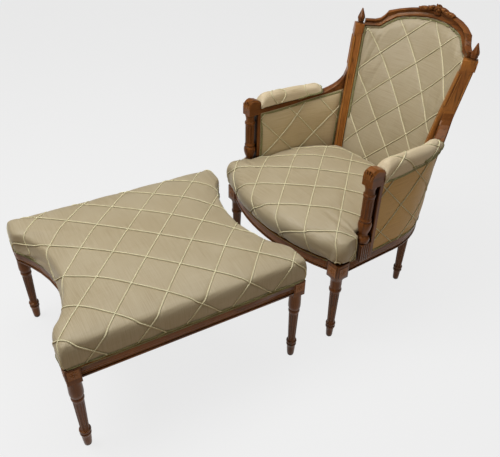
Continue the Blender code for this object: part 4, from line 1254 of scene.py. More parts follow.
@dataclass
class Upholstery(Craft):
    """All the silk work of the chair."""

    radius: float = 0.30
    arm_radius: float = 0.322
    front: float = 0.186
    turn_down: float = 0.086

    def _own(self, points: Array) -> Array:
        """Points in the chair's own frame."""
        return points - np.array(self.setting.chair)

    def _centre(self, own: Array) -> Array:
        """How far back the middle of the shell's curve lies, which leans with the rake."""
        return BACK_CENTRE + RAKE * np.maximum(0.0, own[:, 2] - self.setting.rail_top)

    def seat_cut(self, points: Array, normals: Array) -> Array:
        """The seat seen from above, unrolled over its edges."""
        own = self._own(points)
        return unroll(own[:, :2], normals, own[:, 2], self.setting.rail_top + self.turn_down)

    def back_cut(self, points: Array, _normals: Array) -> Array:
        """The back unrolled round its curve and along its rake.

        Args:
            points: Places on the pad.
            _normals: Not used.

        Returns:
            Places on the flat cut.
        """
        own = self._own(points)
        around = self.radius * np.arcsin(np.clip(own[:, 0] / self.radius, -0.98, 0.98))
        return np.column_stack((around, own[:, 2] / math.cos(math.atan(RAKE))))

    def side_cut(self, points: Array, _normals: Array) -> Array:
        """A side unrolled from the front post to the stile.

        Args:
            points: Places on the pad.
            _normals: Not used.

        Returns:
            Places on the flat cut.
        """
        own = self._own(points)
        centre = self._centre(own)
        ahead = own[:, 1] - centre
        turn = np.arctan2(np.maximum(0.0, ahead), np.abs(own[:, 0]))
        along = np.where(ahead > 0.0, turn * self.radius, ahead) + centre
        return np.column_stack((along + self.front, own[:, 2]))

    def arm_cut(self, points: Array, normals: Array) -> Array:
        """An arm pad unrolled along its length and over its back.

        Args:
            points: Places on the pad.
            normals: Which way it faces there.

        Returns:
            Places on the flat cut.
        """
        flat = self.side_cut(points, normals)
        own = self._own(points)
        radius = np.hypot(own[:, 0], np.maximum(0.0, own[:, 1] - self._centre(own)))
        return np.column_stack((flat[:, 0], flat[:, 1] - (radius - self.arm_radius) * 1.1))

    def build(self) -> None:
        """Makes every pad, its cords and its braid."""
        quilts = [self._seat(), self._back()]
        for side, hand in SIDES:
            quilts += [self._side_pad(side, hand), self._side_panel(side, hand), self._arm_pad(side)]
        quilts.append(self._back_panel())
        for quilt in quilts:
            quilt.build(self.finishes)

    def _seat(self) -> Quilt:
        """The sprung seat, which bulges over the front rail.

        Returns:
            The pad, ready to be built.
        """
        top = self.setting.rail_top
        behind_posts = -0.175

        def shown(points: Array, normals: Array) -> Array:
            """The braid runs round the front between the posts."""
            ahead = self._own(points)[:, 1] < behind_posts
            return (normals[:, 2] > -0.85) & (points[:, 2] < top + 0.02) & ahead

        return Quilt("seat_pad", Body.CHAIR, SEAT_TRELLIS, self.seat_cut, underside(top + TACK_LINE),
                     neighbours=("side_pad_left", "side_pad_right", "back_pad", "arm_plinth_left",
                                 "arm_plinth_right", "arm_post_left", "arm_post_right",
                                 "arm_column_left", "arm_column_right"),
                     levels=2, voxel=0.006, pinned=below(top + TACK_LINE), fill=0.8, cap_reach=0.125,
                     border=shown, border_inset=0.0055,
                     crown=((0.0, 0.0), (0.060, 0.097), (0.080, 0.117), (0.130, 0.147)))

    def _back(self) -> Quilt:
        """The deep back pad between the stiles.

        Returns:
            The pad, ready to be built.
        """

        def bare(points: Array, normals: Array) -> Array:
            """The rear and the edges carry no cord."""
            return (self._inward(points, normals) < 0.02) & (normals[:, 1] > -0.3)

        def tacked(points: Array, normals: Array) -> Array:
            """The cover is held along its rear and its edges."""
            return self._inward(points, normals) < 0.3

        def shown(points: Array, normals: Array) -> Array:
            """The braid runs round the face, beside the stiles and under the crest."""
            facing = (self._inward(points, normals) > 0.2) | (normals[:, 1] < -0.5)
            return facing & (points[:, 2] > self.setting.rail_top + 0.1)

        return Quilt("back_pad", Body.CHAIR, BACK_TRELLIS, self.back_cut, bare,
                     neighbours=("seat_pad", "rear_post_left", "rear_post_right", "crest_rail"),
                     levels=1, voxel=0.006, pinned=tacked, fill=0.7, border=shown, roll=0.010,
                     roll_reach=0.034)

    def _side_pad(self, side: str, hand: float) -> Quilt:
        """The stuffed inner side under an arm.

        Args:
            side: left or right.
            hand: 1 on the left, -1 on the right.

        Returns:
            The pad, ready to be built.
        """
        face = self._facing(-hand)
        return Quilt("side_pad_" + side, Body.CHAIR, SIDE_TRELLIS, self.side_cut, face, silk=INNER_SILK_PAINTED_LIGHT,
                     levels=3, neighbours=("seat_pad", "arm_rail_" + side), fill=0.7,
                     border=self._shown(face), roll=0.005)

    def _side_panel(self, side: str, hand: float) -> Quilt:
        """The flat outer side under an arm.

        Args:
            side: left or right.
            hand: 1 on the left, -1 on the right.

        Returns:
            The pad, ready to be built.
        """
        face = self._facing(hand)
        return Quilt("side_panel_" + side, Body.CHAIR, PANEL_TRELLIS, self.side_cut, face,
                     silk=OUTER_SILK, levels=3, neighbours=("arm_rail_" + side, "side_rail_" + side),
                     fill=0.6, border=self._shown(face))

    def _arm_pad(self, side: str) -> Quilt:
        """The stuffed pad on an arm.

        Args:
            side: left or right.

        Returns:
            The pad, ready to be built.
        """

        def under(_points: Array, normals: Array) -> Array:
            """No cord underneath."""
            return normals[:, 2] < -0.6

        def shown(points: Array, normals: Array) -> Array:
            """The braid shows on all but the underside and the face against the rail."""
            return (normals[:, 2] > -0.45) & ~near_any(points, ("arm_rail_" + side,), 0.0012)

        return Quilt("arm_pad_" + side, Body.CHAIR, SIDE_TRELLIS, self.arm_cut, under, silk=ARM_SILK_PAINTED_LIGHT,
                     neighbours=("arm_rail_" + side,), levels=3, crease=0.35, fill=0.85, border=shown,
                     border_inset=0.0050, border_least=0.16)

    def _back_panel(self) -> Quilt:
        """The flat outer back.

        Returns:
            The pad, ready to be built.
        """

        def bare(_points: Array, normals: Array) -> Array:
            """Only the rear face carries cords."""
            return normals[:, 1] < 0.15

        return Quilt("back_panel", Body.CHAIR, BACK_TRELLIS, self.back_cut, bare, silk=OUTER_SILK,
                     levels=3, neighbours=("rear_rail", "crest_rail"), fill=0.6, border=self._shown(bare))

    def _inward(self, points: Array, normals: Array) -> Array:
        """How much a surface faces the middle of the shell.

        Args:
            points: Places on the pad.
            normals: Which way it faces there.

        Returns:
            1 where it faces the middle, -1 where it faces away.
        """
        own = self._own(points)
        way = np.column_stack((own[:, 0], own[:, 1] - self._centre(own)))
        way /= np.maximum(np.linalg.norm(way, axis=1)[:, None], 1e-6)
        return -(normals[:, :2] * way).sum(axis=1)

    def _shown(self, bare: Rule) -> Rule:
        """The opposite of a rule for bare places: braid shows where cords do."""
        return lambda points, normals: ~bare(points, normals)

    def _facing(self, hand: float) -> Rule:
        """A rule that bares all that doesn't face one way across or round the side.

        Args:
            hand: 1 for what faces outwards on the left, -1 for what faces inwards there.

        Returns:
            The rule.
        """

        def bare(points: Array, normals: Array) -> Array:
            """What faces the other way or along the edges.

            Args:
                points: Places on the pad.
                normals: Which way it faces there.

            Returns:
                One truth value for each place.
            """
            own = self._own(points)
            way = np.column_stack((own[:, 0], np.maximum(0.0, own[:, 1] - self._centre(own))))
            way /= np.linalg.norm(way, axis=1)[:, None]
            out = (normals[:, :2] * way).sum(axis=1) * np.sign(hand) * np.sign(own[:, 0])
            return out < 0.35

        return bare


def unroll(flat: Array, normals: Array, height: Array, edge: float) -> Array:
    """Carries a plan outwards by how far the silk has come down below its edge.

    Args:
        flat: Plan positions.
        normals: Surface normals.
        height: Heights of the points.
        edge: Height at which the silk turns down.

    Returns:
        Positions on the flat cut.
    """
    way = normals[:, :2].copy()
    length = np.linalg.norm(way, axis=1)[:, None]
    way /= np.maximum(length, 1e-6)
    drop = np.maximum(0.0, edge - height)[:, None]
    return flat + way * drop * np.clip(length * 2.0, 0.0, 1.0)


@dataclass
class StoolSilk(Craft):
    """The footstool's pad."""

    turn_down: float = 0.074

    def cut(self, points: Array, normals: Array) -> Array:
        """The stool seen from above in its own frame, unrolled over its edges.

        Args:
            points: Places on the pad.
            normals: Which way it faces there.

        Returns:
            Places on the flat cut.
        """
        place = np.array(self.setting.stool_frame().inverted())
        own = points @ place[:3, :3].T + place[:3, 3]
        facing = normals @ place[:3, :3].T
        return unroll(own[:, :2], facing, own[:, 2], self.setting.stool_rail_top + self.turn_down)

    def build(self) -> Item:
        """Makes the pad, its cords and its braid.

        Returns:
            The pad.
        """
        top = self.setting.stool_rail_top

        def shown(points: Array, normals: Array) -> Array:
            """The braid runs all round."""
            return (normals[:, 2] > -0.85) & (points[:, 2] < top + 0.02)

        quilt = Quilt("stool_pad", Body.STOOL, STOOL_TRELLIS, self.cut, underside(top + TACK_LINE),
                      levels=2, voxel=0.006, pinned=below(top + TACK_LINE), fill=0.8, cap_reach=0.10,
                      border=shown, border_inset=0.0055,
                      crown=((0.0, 0.0), (0.040, 0.070), (0.050, 0.084), (0.090, 0.106)))
        return quilt.build(self.finishes)


# Timber

@dataclass(frozen=True)
class Turning:
    """Profile of a turned timber: height, radius and depth of its flutes, from the foot up."""

    rings: Tuple[Tuple[float, float, float], ...]
    flutes: int = 8
    per_flute: int = 8

    def build(self, name: str) -> Item:
        """Draws the timber up ring by ring and cuts its flutes.

        Args:
            name: The piece's name.

        Returns:
            The timber, standing on the origin's axis.
        """
        deselect()
        height, radius, _depth = self.rings[0]
        bpy.ops.mesh.primitive_circle_add(vertices=self.flutes * self.per_flute, radius=radius,
                                          fill_type="NGON", location=(0.0, 0.0, height))
        item = bpy.context.object
        item.name = name
        settle(item)
        with editing(item):
            for next_height, next_radius, _depth in self.rings[1:]:
                bpy.ops.mesh.extrude_region_move(
                    TRANSFORM_OT_translate={"value": (0.0, 0.0, next_height - height)})
                share = next_radius / radius
                bpy.ops.transform.resize(value=(share, share, 1.0), center_override=(0.0, 0.0, next_height))
                height, radius = next_height, next_radius
        self._flute(item)
        outward(item)
        smooth(item, 32.0)
        return item

    def _flute(self, item: Item) -> None:
        """Sinks the flutes into the rings that have a depth.

        Args:
            item: The timber.
        """
        points = points_of(item.data)
        heights = [ring[0] for ring in self.rings]
        depth = np.interp(points[:, 2], heights, [ring[2] for ring in self.rings])
        turn = np.arctan2(points[:, 1], points[:, 0]) / math.tau * self.flutes
        off = np.abs(turn - np.floor(turn) - 0.5) / 0.36
        channel = np.sqrt(np.clip(1.0 - off * off, 0.0, 1.0))
        radius = np.maximum(np.hypot(points[:, 0], points[:, 1]), 1e-6)
        points[:, :2] *= (1.0 - depth * channel / radius)[:, None]
        put_points(item.data, points)


CHAIR_LEG = Turning((
    (0.0000, 0.0085, 0.0), (0.0025, 0.0105, 0.0), (0.0080, 0.0116, 0.0), (0.0240, 0.0126, 0.0),
    (0.0400, 0.0136, 0.0), (0.0450, 0.0148, 0.0), (0.0465, 0.0166, 0.0), (0.0505, 0.0173, 0.0),
    (0.0545, 0.0166, 0.0), (0.0560, 0.0150, 0.0), (0.0585, 0.0147, 0.0), (0.0600, 0.0168, 0.0),
    (0.0640, 0.0178, 0.0), (0.0680, 0.0168, 0.0), (0.0695, 0.0145, 0.0), (0.0730, 0.0134, 0.0),
    (0.0770, 0.0134, 0.0), (0.0800, 0.0135, 0.0022), (0.0830, 0.0137, 0.0028),
    (0.2050, 0.0172, 0.0032), (0.2085, 0.0173, 0.0026), (0.2110, 0.0174, 0.0), (0.2145, 0.0174, 0.0),
    (0.2155, 0.0186, 0.0), (0.2180, 0.0190, 0.0), (0.2190, 0.0204, 0.0), (0.2230, 0.0217, 0.0),
    (0.2275, 0.0220, 0.0), (0.2320, 0.0210, 0.0), (0.2345, 0.0194, 0.0), (0.2390, 0.0196, 0.0),
    (0.2480, 0.0202, 0.0), (0.2640, 0.0203, 0.0), (0.2700, 0.0207, 0.0), (0.2755, 0.0222, 0.0),
    (0.2790, 0.0242, 0.0), (0.2815, 0.0250, 0.0), (0.2845, 0.0250, 0.0)))
STOOL_LEG = Turning((
    (0.0000, 0.0088, 0.0), (0.0025, 0.0108, 0.0), (0.0080, 0.0120, 0.0), (0.0300, 0.0138, 0.0),
    (0.0460, 0.0146, 0.0), (0.0500, 0.0154, 0.0), (0.0515, 0.0166, 0.0), (0.0550, 0.0172, 0.0),
    (0.0585, 0.0166, 0.0), (0.0600, 0.0150, 0.0), (0.0625, 0.0148, 0.0), (0.0640, 0.0172, 0.0),
    (0.0685, 0.0181, 0.0), (0.0730, 0.0172, 0.0), (0.0745, 0.0142, 0.0), (0.0780, 0.0130, 0.0),
    (0.0815, 0.0130, 0.0), (0.0845, 0.0131, 0.0020), (0.0875, 0.0132, 0.0026),
    (0.1960, 0.0164, 0.0030), (0.1990, 0.0165, 0.0024), (0.2015, 0.0166, 0.0), (0.2050, 0.0165, 0.0),
    (0.2070, 0.0176, 0.0), (0.2090, 0.0188, 0.0), (0.2135, 0.0192, 0.0), (0.2180, 0.0186, 0.0),
    (0.2200, 0.0174, 0.0), (0.2230, 0.0178, 0.0), (0.2290, 0.0203, 0.0), (0.2380, 0.0210, 0.0),
    (0.2600, 0.0206, 0.0), (0.2750, 0.0200, 0.0), (0.2890, 0.0203, 0.0)))
COLUMN = Turning((
    (0.4128, 0.0196, 0.0), (0.4150, 0.0215, 0.0), (0.4195, 0.0226, 0.0), (0.4245, 0.0230, 0.0),
    (0.4295, 0.0226, 0.0), (0.4340, 0.0212, 0.0), (0.4365, 0.0185, 0.0), (0.4400, 0.0155, 0.0),
    (0.4440, 0.0146, 0.0), (0.4480, 0.0148, 0.0), (0.4520, 0.0165, 0.0), (0.4600, 0.0194, 0.0),
    (0.4700, 0.0220, 0.0), (0.4780, 0.0229, 0.0), (0.4840, 0.0228, 0.0), (0.4890, 0.0216, 0.0),
    (0.4920, 0.0196, 0.0), (0.4940, 0.0180, 0.0), (0.4960, 0.0190, 0.0), (0.4990, 0.0200, 0.0),
    (0.5020, 0.0198, 0.0), (0.5040, 0.0186, 0.0), (0.5060, 0.0178, 0.0), (0.5090, 0.0178, 0.0020),
    (0.5120, 0.0180, 0.0026), (0.5760, 0.0185, 0.0026), (0.5790, 0.0185, 0.0020),
    (0.5815, 0.0185, 0.0), (0.5850, 0.0178, 0.0), (0.5870, 0.0190, 0.0), (0.5900, 0.0203, 0.0),
    (0.5945, 0.0205, 0.0), (0.5980, 0.0196, 0.0), (0.5995, 0.0172, 0.0), (0.6080, 0.0162, 0.0),
    (0.6160, 0.0172, 0.0), (0.6220, 0.0192, 0.0), (0.6277, 0.0200, 0.0)), 10, 8)
FINIAL_BASE: float = 0.9195
FINIAL = Turning((
    (0.0000, 0.0108, 0.0), (0.0022, 0.0104, 0.0), (0.0034, 0.0092, 0.0), (0.0060, 0.0090, 0.0),
    (0.0072, 0.0112, 0.0), (0.0095, 0.0120, 0.0), (0.0118, 0.0114, 0.0), (0.0128, 0.0118, 0.0006),
    (0.0165, 0.0136, 0.0012), (0.0210, 0.0139, 0.0014), (0.0260, 0.0128, 0.0014),
    (0.0320, 0.0104, 0.0012), (0.0390, 0.0076, 0.0008), (0.0450, 0.0052, 0.0003),
    (0.0500, 0.0034, 0.0), (0.0530, 0.0020, 0.0), (0.0540, 0.0008, 0.0)), 8, 6)


def copied(source: Item, name: str, place: Matrix) -> Item:
    """A copy with a mesh of its own, put in its place.

    Args:
        source: The pattern.
        name: The copy's name.
        place: Where it goes.

    Returns:
        The copy.
    """
    item = source.copy()
    item.data = source.data.copy()
    item.name = name
    item.data.name = name
    item.data.transform(place)
    bpy.context.scene.collection.objects.link(item)
    return item


def remove(item: Item) -> None:
    """Takes a pattern piece away once its copies are made."""
    bpy.data.objects.remove(item, do_unlink=True)


def cut_off(item: Item, height: float, keep_above: bool) -> None:
    """Saws a piece off level and closes the cut.

    Args:
        item: The piece.
        height: Where the saw runs.
        keep_above: Whether the upper part is kept.
    """
    with editing(item):
        bpy.ops.mesh.bisect(plane_co=(0.0, 0.0, height), plane_no=(0.0, 0.0, 1.0), use_fill=True,
                            clear_inner=keep_above, clear_outer=not keep_above)


def bevel_edges(item: Item, width: float, degrees: float = 50.0, segments: int = 2) -> None:
    """Rounds the sharp edges of a timber a little.

    Args:
        item: The timber.
        width: How far the rounding reaches.
        degrees: How sharp an edge must be.
        segments: How many faces the rounding has.
    """
    modify(item, "BEVEL", width=width, segments=segments, limit_method="ANGLE",
           angle_limit=math.radians(degrees))
    smooth(item, 35.0)


@dataclass(frozen=True)
class Rosette:
    """Carved patera: a sunk square with eight petals round a button."""

    side: float
    rise: float = 0.0016
    petals: int = 8

    def build(self, name: str) -> Item:
        """Models the patera facing -Y with its back at the origin.

        Args:
            name: The piece's name.

        Returns:
            The patera.
        """
        deselect()
        bpy.ops.mesh.primitive_cube_add(size=1.0, location=(0.0, -self.rise / 2.0, 0.0))
        plate = bpy.context.object
        plate.scale = (self.side, self.rise, self.side)
        settle(plate)
        with editing(plate, "DESELECT"):
            pick_faces(plate, lambda face: face.normal.y < -0.9)
            bpy.ops.mesh.inset(thickness=self.side * 0.07)
            bpy.ops.transform.translate(value=(0.0, self.rise * 0.7, 0.0))
        pieces = [plate]
        reach = self.side * 0.24
        for number in range(self.petals):
            turn = math.tau * number / self.petals
            place = (reach * math.sin(turn), -self.rise * 0.5, reach * math.cos(turn))
            pieces.append(lump("petal", place, (self.side * 0.085, self.rise * 1.3, self.side * 0.17), turn))
        pieces.append(lump("button", (0.0, -self.rise * 0.6, 0.0),
                           (self.side * 0.10, self.rise * 1.5, self.side * 0.10), 0.0))
        rosette = join(pieces, name)
        smooth(rosette, 40.0)
        return rosette


def lump(name: str, place: Sequence[float], size: Sequence[float], turn: float,
         segments: int = 12) -> Item:
    """A carved swelling: a ball squeezed to size and turned about the line of sight.

    Args:
        name: The piece's name.
        place: Its middle.
        size: Half its width, depth and height.
        turn: Turn about Y in radians.
        segments: Faces round it.

    Returns:
        The swelling.
    """
    deselect()
    bpy.ops.mesh.primitive_uv_sphere_add(segments=segments, ring_count=max(6, segments // 2), radius=1.0)
    item = bpy.context.object
    item.name = name
    item.data.transform(Matrix.Translation(Vector(place)) @ Matrix.Rotation(turn, 4, "Y")
                        @ Matrix.Diagonal((*size, 1.0)))
    bpy.ops.object.shade_smooth()
    return item


@dataclass
class Legs(Craft):
    """Turned legs, columns and the square blocks above them."""

    chair_joint: float = 0.2830
    stool_joint: float = 0.2875
    chair_patera: Rosette = Rosette(0.036)
    stool_patera: Rosette = Rosette(0.034)
    chair_face: float = 0.0258
    stool_face: float = 0.0213
    chair_drop: float = 0.031
    stool_drop: float = 0.0225
    rounding: float = 0.0010

    def build(self) -> None:
        """Makes each pattern once and sets its copies where the solids stand."""
        leg = CHAIR_LEG.build("chair_leg_pattern")
        patera = self.chair_patera.build("chair_patera_pattern")
        for side, hand in SIDES:
            self._front_leg(leg, patera, side, hand)
            self._rear_post(leg, side)
        remove(leg)
        remove(patera)
        self._stool_legs()
        self._columns()

    def _finish(self, item: Item, node: str, body: Body) -> None:
        """Waxes a finished timber, if it isn't yet, and hands it to its body.

        Args:
            item: The timber.
            node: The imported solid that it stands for.
            body: The body that it rides.
        """
        if not item.data.materials:
            self.finishes.dress(item, BEECH_UPRIGHT)
        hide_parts(node)
        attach(item, body.value)
        LOG.info("%s: %d faces", item.name, len(item.data.polygons))

    def _front_leg(self, leg: Item, patera: Item, side: str, hand: float) -> None:
        """A front leg with its square block.

        Args:
            leg: The leg's pattern.
            patera: The patera's pattern.
            side: left or right.
            hand: 1 on the left, -1 on the right.
        """
        node = "front_leg_" + side
        middle = node_middle(node)
        block = copy_of(node, node + "_block")
        cut_off(block, self.chair_joint, True)
        bevel_edges(block, self.rounding)
        turned = copied(leg, node + "_turned", Matrix.Translation((middle.x, middle.y, 0.0)))
        level = self.setting.rail_top - self.chair_drop
        front = copied(patera, node + "_patera_front",
                       Matrix.Translation((middle.x, middle.y - self.chair_face, level)))
        outer = copied(patera, node + "_patera_side",
                       Matrix.Translation((middle.x + hand * self.chair_face, middle.y, level))
                       @ Matrix.Rotation(hand * math.pi / 2.0, 4, "Z"))
        self._finish(join([block, turned, front, outer], node + "_carved"), node, Body.CHAIR)

    def _rear_post(self, leg: Item, side: str) -> None:
        """A rear leg, stile and finial in one.

        Args:
            leg: The leg's pattern.
            side: left or right.
        """
        node = "rear_post_" + side
        post = copy_of(node, node + "_stile")
        points = points_of(post.data)
        foot = points[points[:, 2] < 0.004].mean(axis=0)
        tip = points[points[:, 2] > points[:, 2].max() - 0.001].mean(axis=0)
        near = points[np.abs(points[:, 2] - FINIAL_BASE) < 0.004]
        base = near[np.argsort(near[:, 2])][-16:].mean(axis=0)
        cut_off(post, self.chair_joint, True)
        cut_off(post, FINIAL_BASE, False)
        bevel_edges(post, 0.0012, 42.0)
        turned = copied(leg, node + "_turned", Matrix.Translation((foot[0], foot[1], 0.0))
                        @ Matrix.Rotation(math.radians(43.0 if side == "left" else 137.0), 4, "Z"))
        bud = FINIAL.build(node + "_bud")
        lean = (tip - base) / max(tip[2] - FINIAL_BASE, 0.01)
        shaped = points_of(bud.data)
        rise = shaped[:, 2].copy()
        shaped[:, 0] += base[0] + lean[0] * rise
        shaped[:, 1] += base[1] + lean[1] * rise
        shaped[:, 2] += FINIAL_BASE
        put_points(bud.data, shaped)
        for item, finish in ((post, PALE_STILE_BEECH), (turned, BEECH_UPRIGHT), (bud, BEECH_UPRIGHT)):
            self.finishes.dress(item, finish)
        self._finish(join([post, turned, bud], node + "_carved"), node, Body.CHAIR)

    def _stool_legs(self) -> None:
        """The stool's four legs with a patera on both outer faces of each block."""
        leg = STOOL_LEG.build("stool_leg_pattern")
        patera = self.stool_patera.build("stool_patera_pattern")
        turn = Matrix.Rotation(self.setting.stool_turn, 4, "Z")
        for name, across, along in (("front_left", 1.0, -1.0), ("front_right", -1.0, -1.0),
                                    ("rear_left", 1.0, 1.0), ("rear_right", -1.0, 1.0)):
            node = "stool_leg_" + name
            middle = node_middle(node)
            stand = Matrix.Translation((middle.x, middle.y, 0.0)) @ turn
            block = copy_of(node, node + "_block")
            cut_off(block, self.stool_joint, True)
            bevel_edges(block, self.rounding)
            level = self.setting.stool_rail_top - self.stool_drop
            pieces = [block, copied(leg, node + "_turned", stand)]
            faces = ((0.0, along * self.stool_face, 0.0 if along < 0.0 else math.pi),
                     (across * self.stool_face, 0.0, across * math.pi / 2.0))
            for number, (x, y, spin) in enumerate(faces):
                place = stand @ Matrix.Translation((x, y, level)) @ Matrix.Rotation(spin, 4, "Z")
                pieces.append(copied(patera, "%s_patera_%d" % (node, number), place))
            self._finish(join(pieces, node + "_carved"), node, Body.STOOL)
        remove(leg)
        remove(patera)

    def _columns(self) -> None:
        """The fluted columns under the arms, and their square plinths."""
        column = COLUMN.build("column_pattern")
        for side, _hand in SIDES:
            node = "arm_column_" + side
            middle = node_middle(node)
            turned = copied(column, node + "_turned", Matrix.Translation((middle.x, middle.y, 0.0)))
            self._finish(turned, node, Body.CHAIR)
            plinth = copy_of("arm_plinth_" + side, "arm_plinth_%s_fluted" % side)
            bevel_edges(plinth, 0.0006, 60.0)
            self._finish(plinth, "arm_plinth_" + side, Body.CHAIR)
        remove(column)


@dataclass
class Moulding:
    """A seat rail with a face as shallow as the one seen, and beads run along it."""

    node: str
    body: Body
    finish: WaxedBeech
    frame: Matrix
    centre: Tuple[float, float] = (0.0, BACK_CENTRE)
    axes: Tuple[float, float] = (1.0, 1.0)
    face: float = 0.045
    beads: Tuple[Tuple[float, float], ...] = ((0.0028, 0.0024), (0.0230, 0.0012), (0.0320, 0.0014))
    gimp: float = 0.0
    step: float = 0.006
    sunk: float = 0.15
    downward: float = -0.45

    def build(self, finishes: Finishes) -> Item:
        """Draws up the lower outer edge and lays the beads.

        Args:
            finishes: Where the material comes from.

        Returns:
            The rail.
        """
        rail = copy_of(self.node, self.node + "_moulded")
        outer = self._outer(rail.data)
        points = points_of(rail.data)
        top, low = points[:, 2].max(), points[:, 2].min()
        share = min(1.0, self.face / (top - low))
        points[outer, 2] = top - (top - points[outer, 2]) * share
        put_points(rail.data, points)
        outward(rail)
        with editing(rail):
            bpy.ops.mesh.subdivide(number_cuts=3)
        outer = self._outer(rail.data)
        heights = points_of(rail.data)[:, 2]
        tracer = Tracer(rail.data, outer)
        pieces = [rail]
        for number, (drop, radius) in enumerate(self.beads):
            laid = []
            for line in tracer.lines(heights, top - drop):
                even = resample(line, self.step)
                if even:
                    laid.append(even[0] - even[1] * radius * self.sunk)
            if laid:
                pieces.append(cords_along("%s_bead_%d" % (self.node, number), laid, radius, 2))
        if self.gimp:
            lines = [line for line in tracer.lines(heights, top - self.gimp) if run_of(line[0]) > 0.05]
            RAIL_GIMP.build(self.node + "_gimp", lines, self.body, finishes)
        whole = join(pieces, self.node + "_moulded")
        smooth(whole, 38.0)
        finishes.dress(whole, self.finish)
        # Painted shade: down-facing faces below the rail's face get the near-black underside finish.
        whole.data.materials.append(finishes.get(UNDERSIDE_SHADE_BEECH))
        edge = top - self.face - 0.0006
        for face in whole.data.polygons:
            if face.normal.z < self.downward and face.center.z < edge:
                face.material_index = len(whole.data.materials) - 1
        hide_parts(self.node)
        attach(whole, self.body.value)
        return whole

    def _outer(self, mesh: bpy.types.Mesh) -> Array:
        """Which points face away from the seat's middle.

        Args:
            mesh: The rail's mesh.

        Returns:
            One truth value for each point.
        """
        place = np.array(self.frame.inverted())
        own = points_of(mesh) @ place[:3, :3].T + place[:3, 3]
        facing = normals_of(mesh) @ place[:3, :3].T
        way = (own[:, :2] - np.array(self.centre)) * np.array(self.axes)
        way /= np.maximum(np.linalg.norm(way, axis=1)[:, None], 1e-6)
        return (facing[:, :2] * way).sum(axis=1) > 0.02


def build_rails(setting: Setting, finishes: Finishes) -> None:
    """Runs the mouldings along all the seat rails.

    Args:
        setting: Where things stand.
        finishes: Where the materials come from.
    """
    chair, stool = setting.chair_frame(), setting.stool_frame()
    for node, gimp in (("front_rail", 0.0034), ("rear_rail", 0.0)):
        Moulding(node, Body.CHAIR, BEECH_ACROSS, chair, gimp=gimp).build(finishes)
    for node in ("side_rail_left", "side_rail_right"):
        Moulding(node, Body.CHAIR, BEECH_LENGTHWISE, chair).build(finishes)
    for node, axes in (("stool_end_rail_front", (0.0, 1.0)), ("stool_end_rail_rear", (0.0, 1.0)),
                       ("stool_side_rail_left", (1.0, 0.0)), ("stool_side_rail_right", (1.0, 0.0))):
        finish = BEECH_ACROSS if axes[1] else BEECH_LENGTHWISE
        Moulding(node, Body.STOOL, finish, stool, (0.0, 0.0), axes, gimp=0.0034).build(finishes)


@dataclass
class Carving(Craft):
    """The flower and leaves on the crest and the leaf on each arm block."""

    petals: int = 7
    petal_reach: float = 0.0088
    leaves: int = 6
    lobes: int = 5
    arm_half: float = 0.323

    def build(self) -> None:
        """Carves the crest and both arm blocks."""
        self._crest()
        for side, hand in SIDES:
            self._arm_leaf(side, hand)

    def _crest(self) -> None:
        """A many-petalled flower between two sprays, lying on the crest's front and top."""
        tree = tree_of("crest_rail")
        low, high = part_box("crest_rail")
        middle = (low[0] + high[0]) / 2.0
        heart = high[2] - 0.0115
        lumps = [self._on(tree, "heart", middle, heart, (0.0042, 0.0040, 0.0042), 0.0, 0.0030)]
        for number in range(self.petals):
            turn = math.tau * (number + 0.5) / self.petals
            lumps.append(self._on(tree, "petal", middle + self.petal_reach * math.sin(turn),
                                  heart + self.petal_reach * math.cos(turn), (0.0034, 0.0034, 0.0062), turn,
                                  0.0012))
        for hand in (1.0, -1.0):
            for step in range(self.leaves):
                off = 0.022 + 0.0105 * step
                x = middle + hand * off
                above = Vector((x, self._face(tree, x, heart - 0.02) + 0.006, high[2] + 0.05))
                ceiling = tree.ray_cast(above, Vector((0.0, 0.0, -1.0)))[0]
                if ceiling is None:
                    continue
                tilt = hand * math.radians(62.0 if step % 2 else 108.0)
                lumps.append(self._on(tree, "leaf", x, min(ceiling.z - 0.0045, heart + 0.004),
                                      (0.0034, 0.0038, 0.0100 - 0.0006 * step), tilt, 0.0006))
        carving = join([item for item in lumps if item], "crest_carving")
        self.finishes.dress(carving, BEECH_ACROSS)
        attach(carving, Body.CHAIR.value)

    def _face(self, tree: BVHTree, x: float, z: float) -> float:
        """How far forward the crest stands at a place."""
        hit = tree.ray_cast(Vector((x, -1.0, z)), Vector((0.0, 1.0, 0.0)))[0]
        return hit.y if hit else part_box("crest_rail")[0][1]

    def _on(self, tree: BVHTree, name: str, x: float, z: float, size: Sequence[float], turn: float,
            proud: float) -> Optional[Item]:
        """A swelling set on the crest's face.

        Args:
            tree: The crest.
            name: The swelling's name.
            x: Where it sits across.
            z: How high it sits.
            size: Half its width, depth and height.
            turn: Its turn in radians.
            proud: How far it stands out.

        Returns:
            The swelling, or None off the crest.
        """
        hit = tree.ray_cast(Vector((x, -1.0, z)), Vector((0.0, 1.0, 0.0)))[0]
        if hit is None:
            return None
        return lump(name, (x, hit.y - proud + size[1] * 0.35, z), size, turn)

    def _arm_leaf(self, side: str, hand: float) -> None:
        """Five lobes that fan over the block at the front of an arm.

        Args:
            side: left or right.
            hand: 1 on the left, -1 on the right.
        """
        tree = tree_of("arm_rail_" + side)
        x = self.setting.chair.x + hand * self.arm_half
        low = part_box("arm_rail_" + side)[0]
        lobes = []
        for place in range(self.lobes):
            number = place - self.lobes // 2
            off = number * 0.0078
            height = low[2] + 0.040 - abs(number) * 0.0035
            hit = tree.ray_cast(Vector((x + off, -1.0, height)), Vector((0.0, 1.0, 0.0)))[0]
            if hit is None:
                continue
            lobes.append(lump("lobe", (x + off, hit.y + 0.0008, height),
                              (0.0033, 0.0030, 0.0165 - abs(number) * 0.0020),
                              math.radians(9.0) * number))
        leaf = join(lobes, "arm_leaf_" + side)
        self.finishes.dress(leaf, BEECH_UPRIGHT)
        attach(leaf, Body.CHAIR.value)


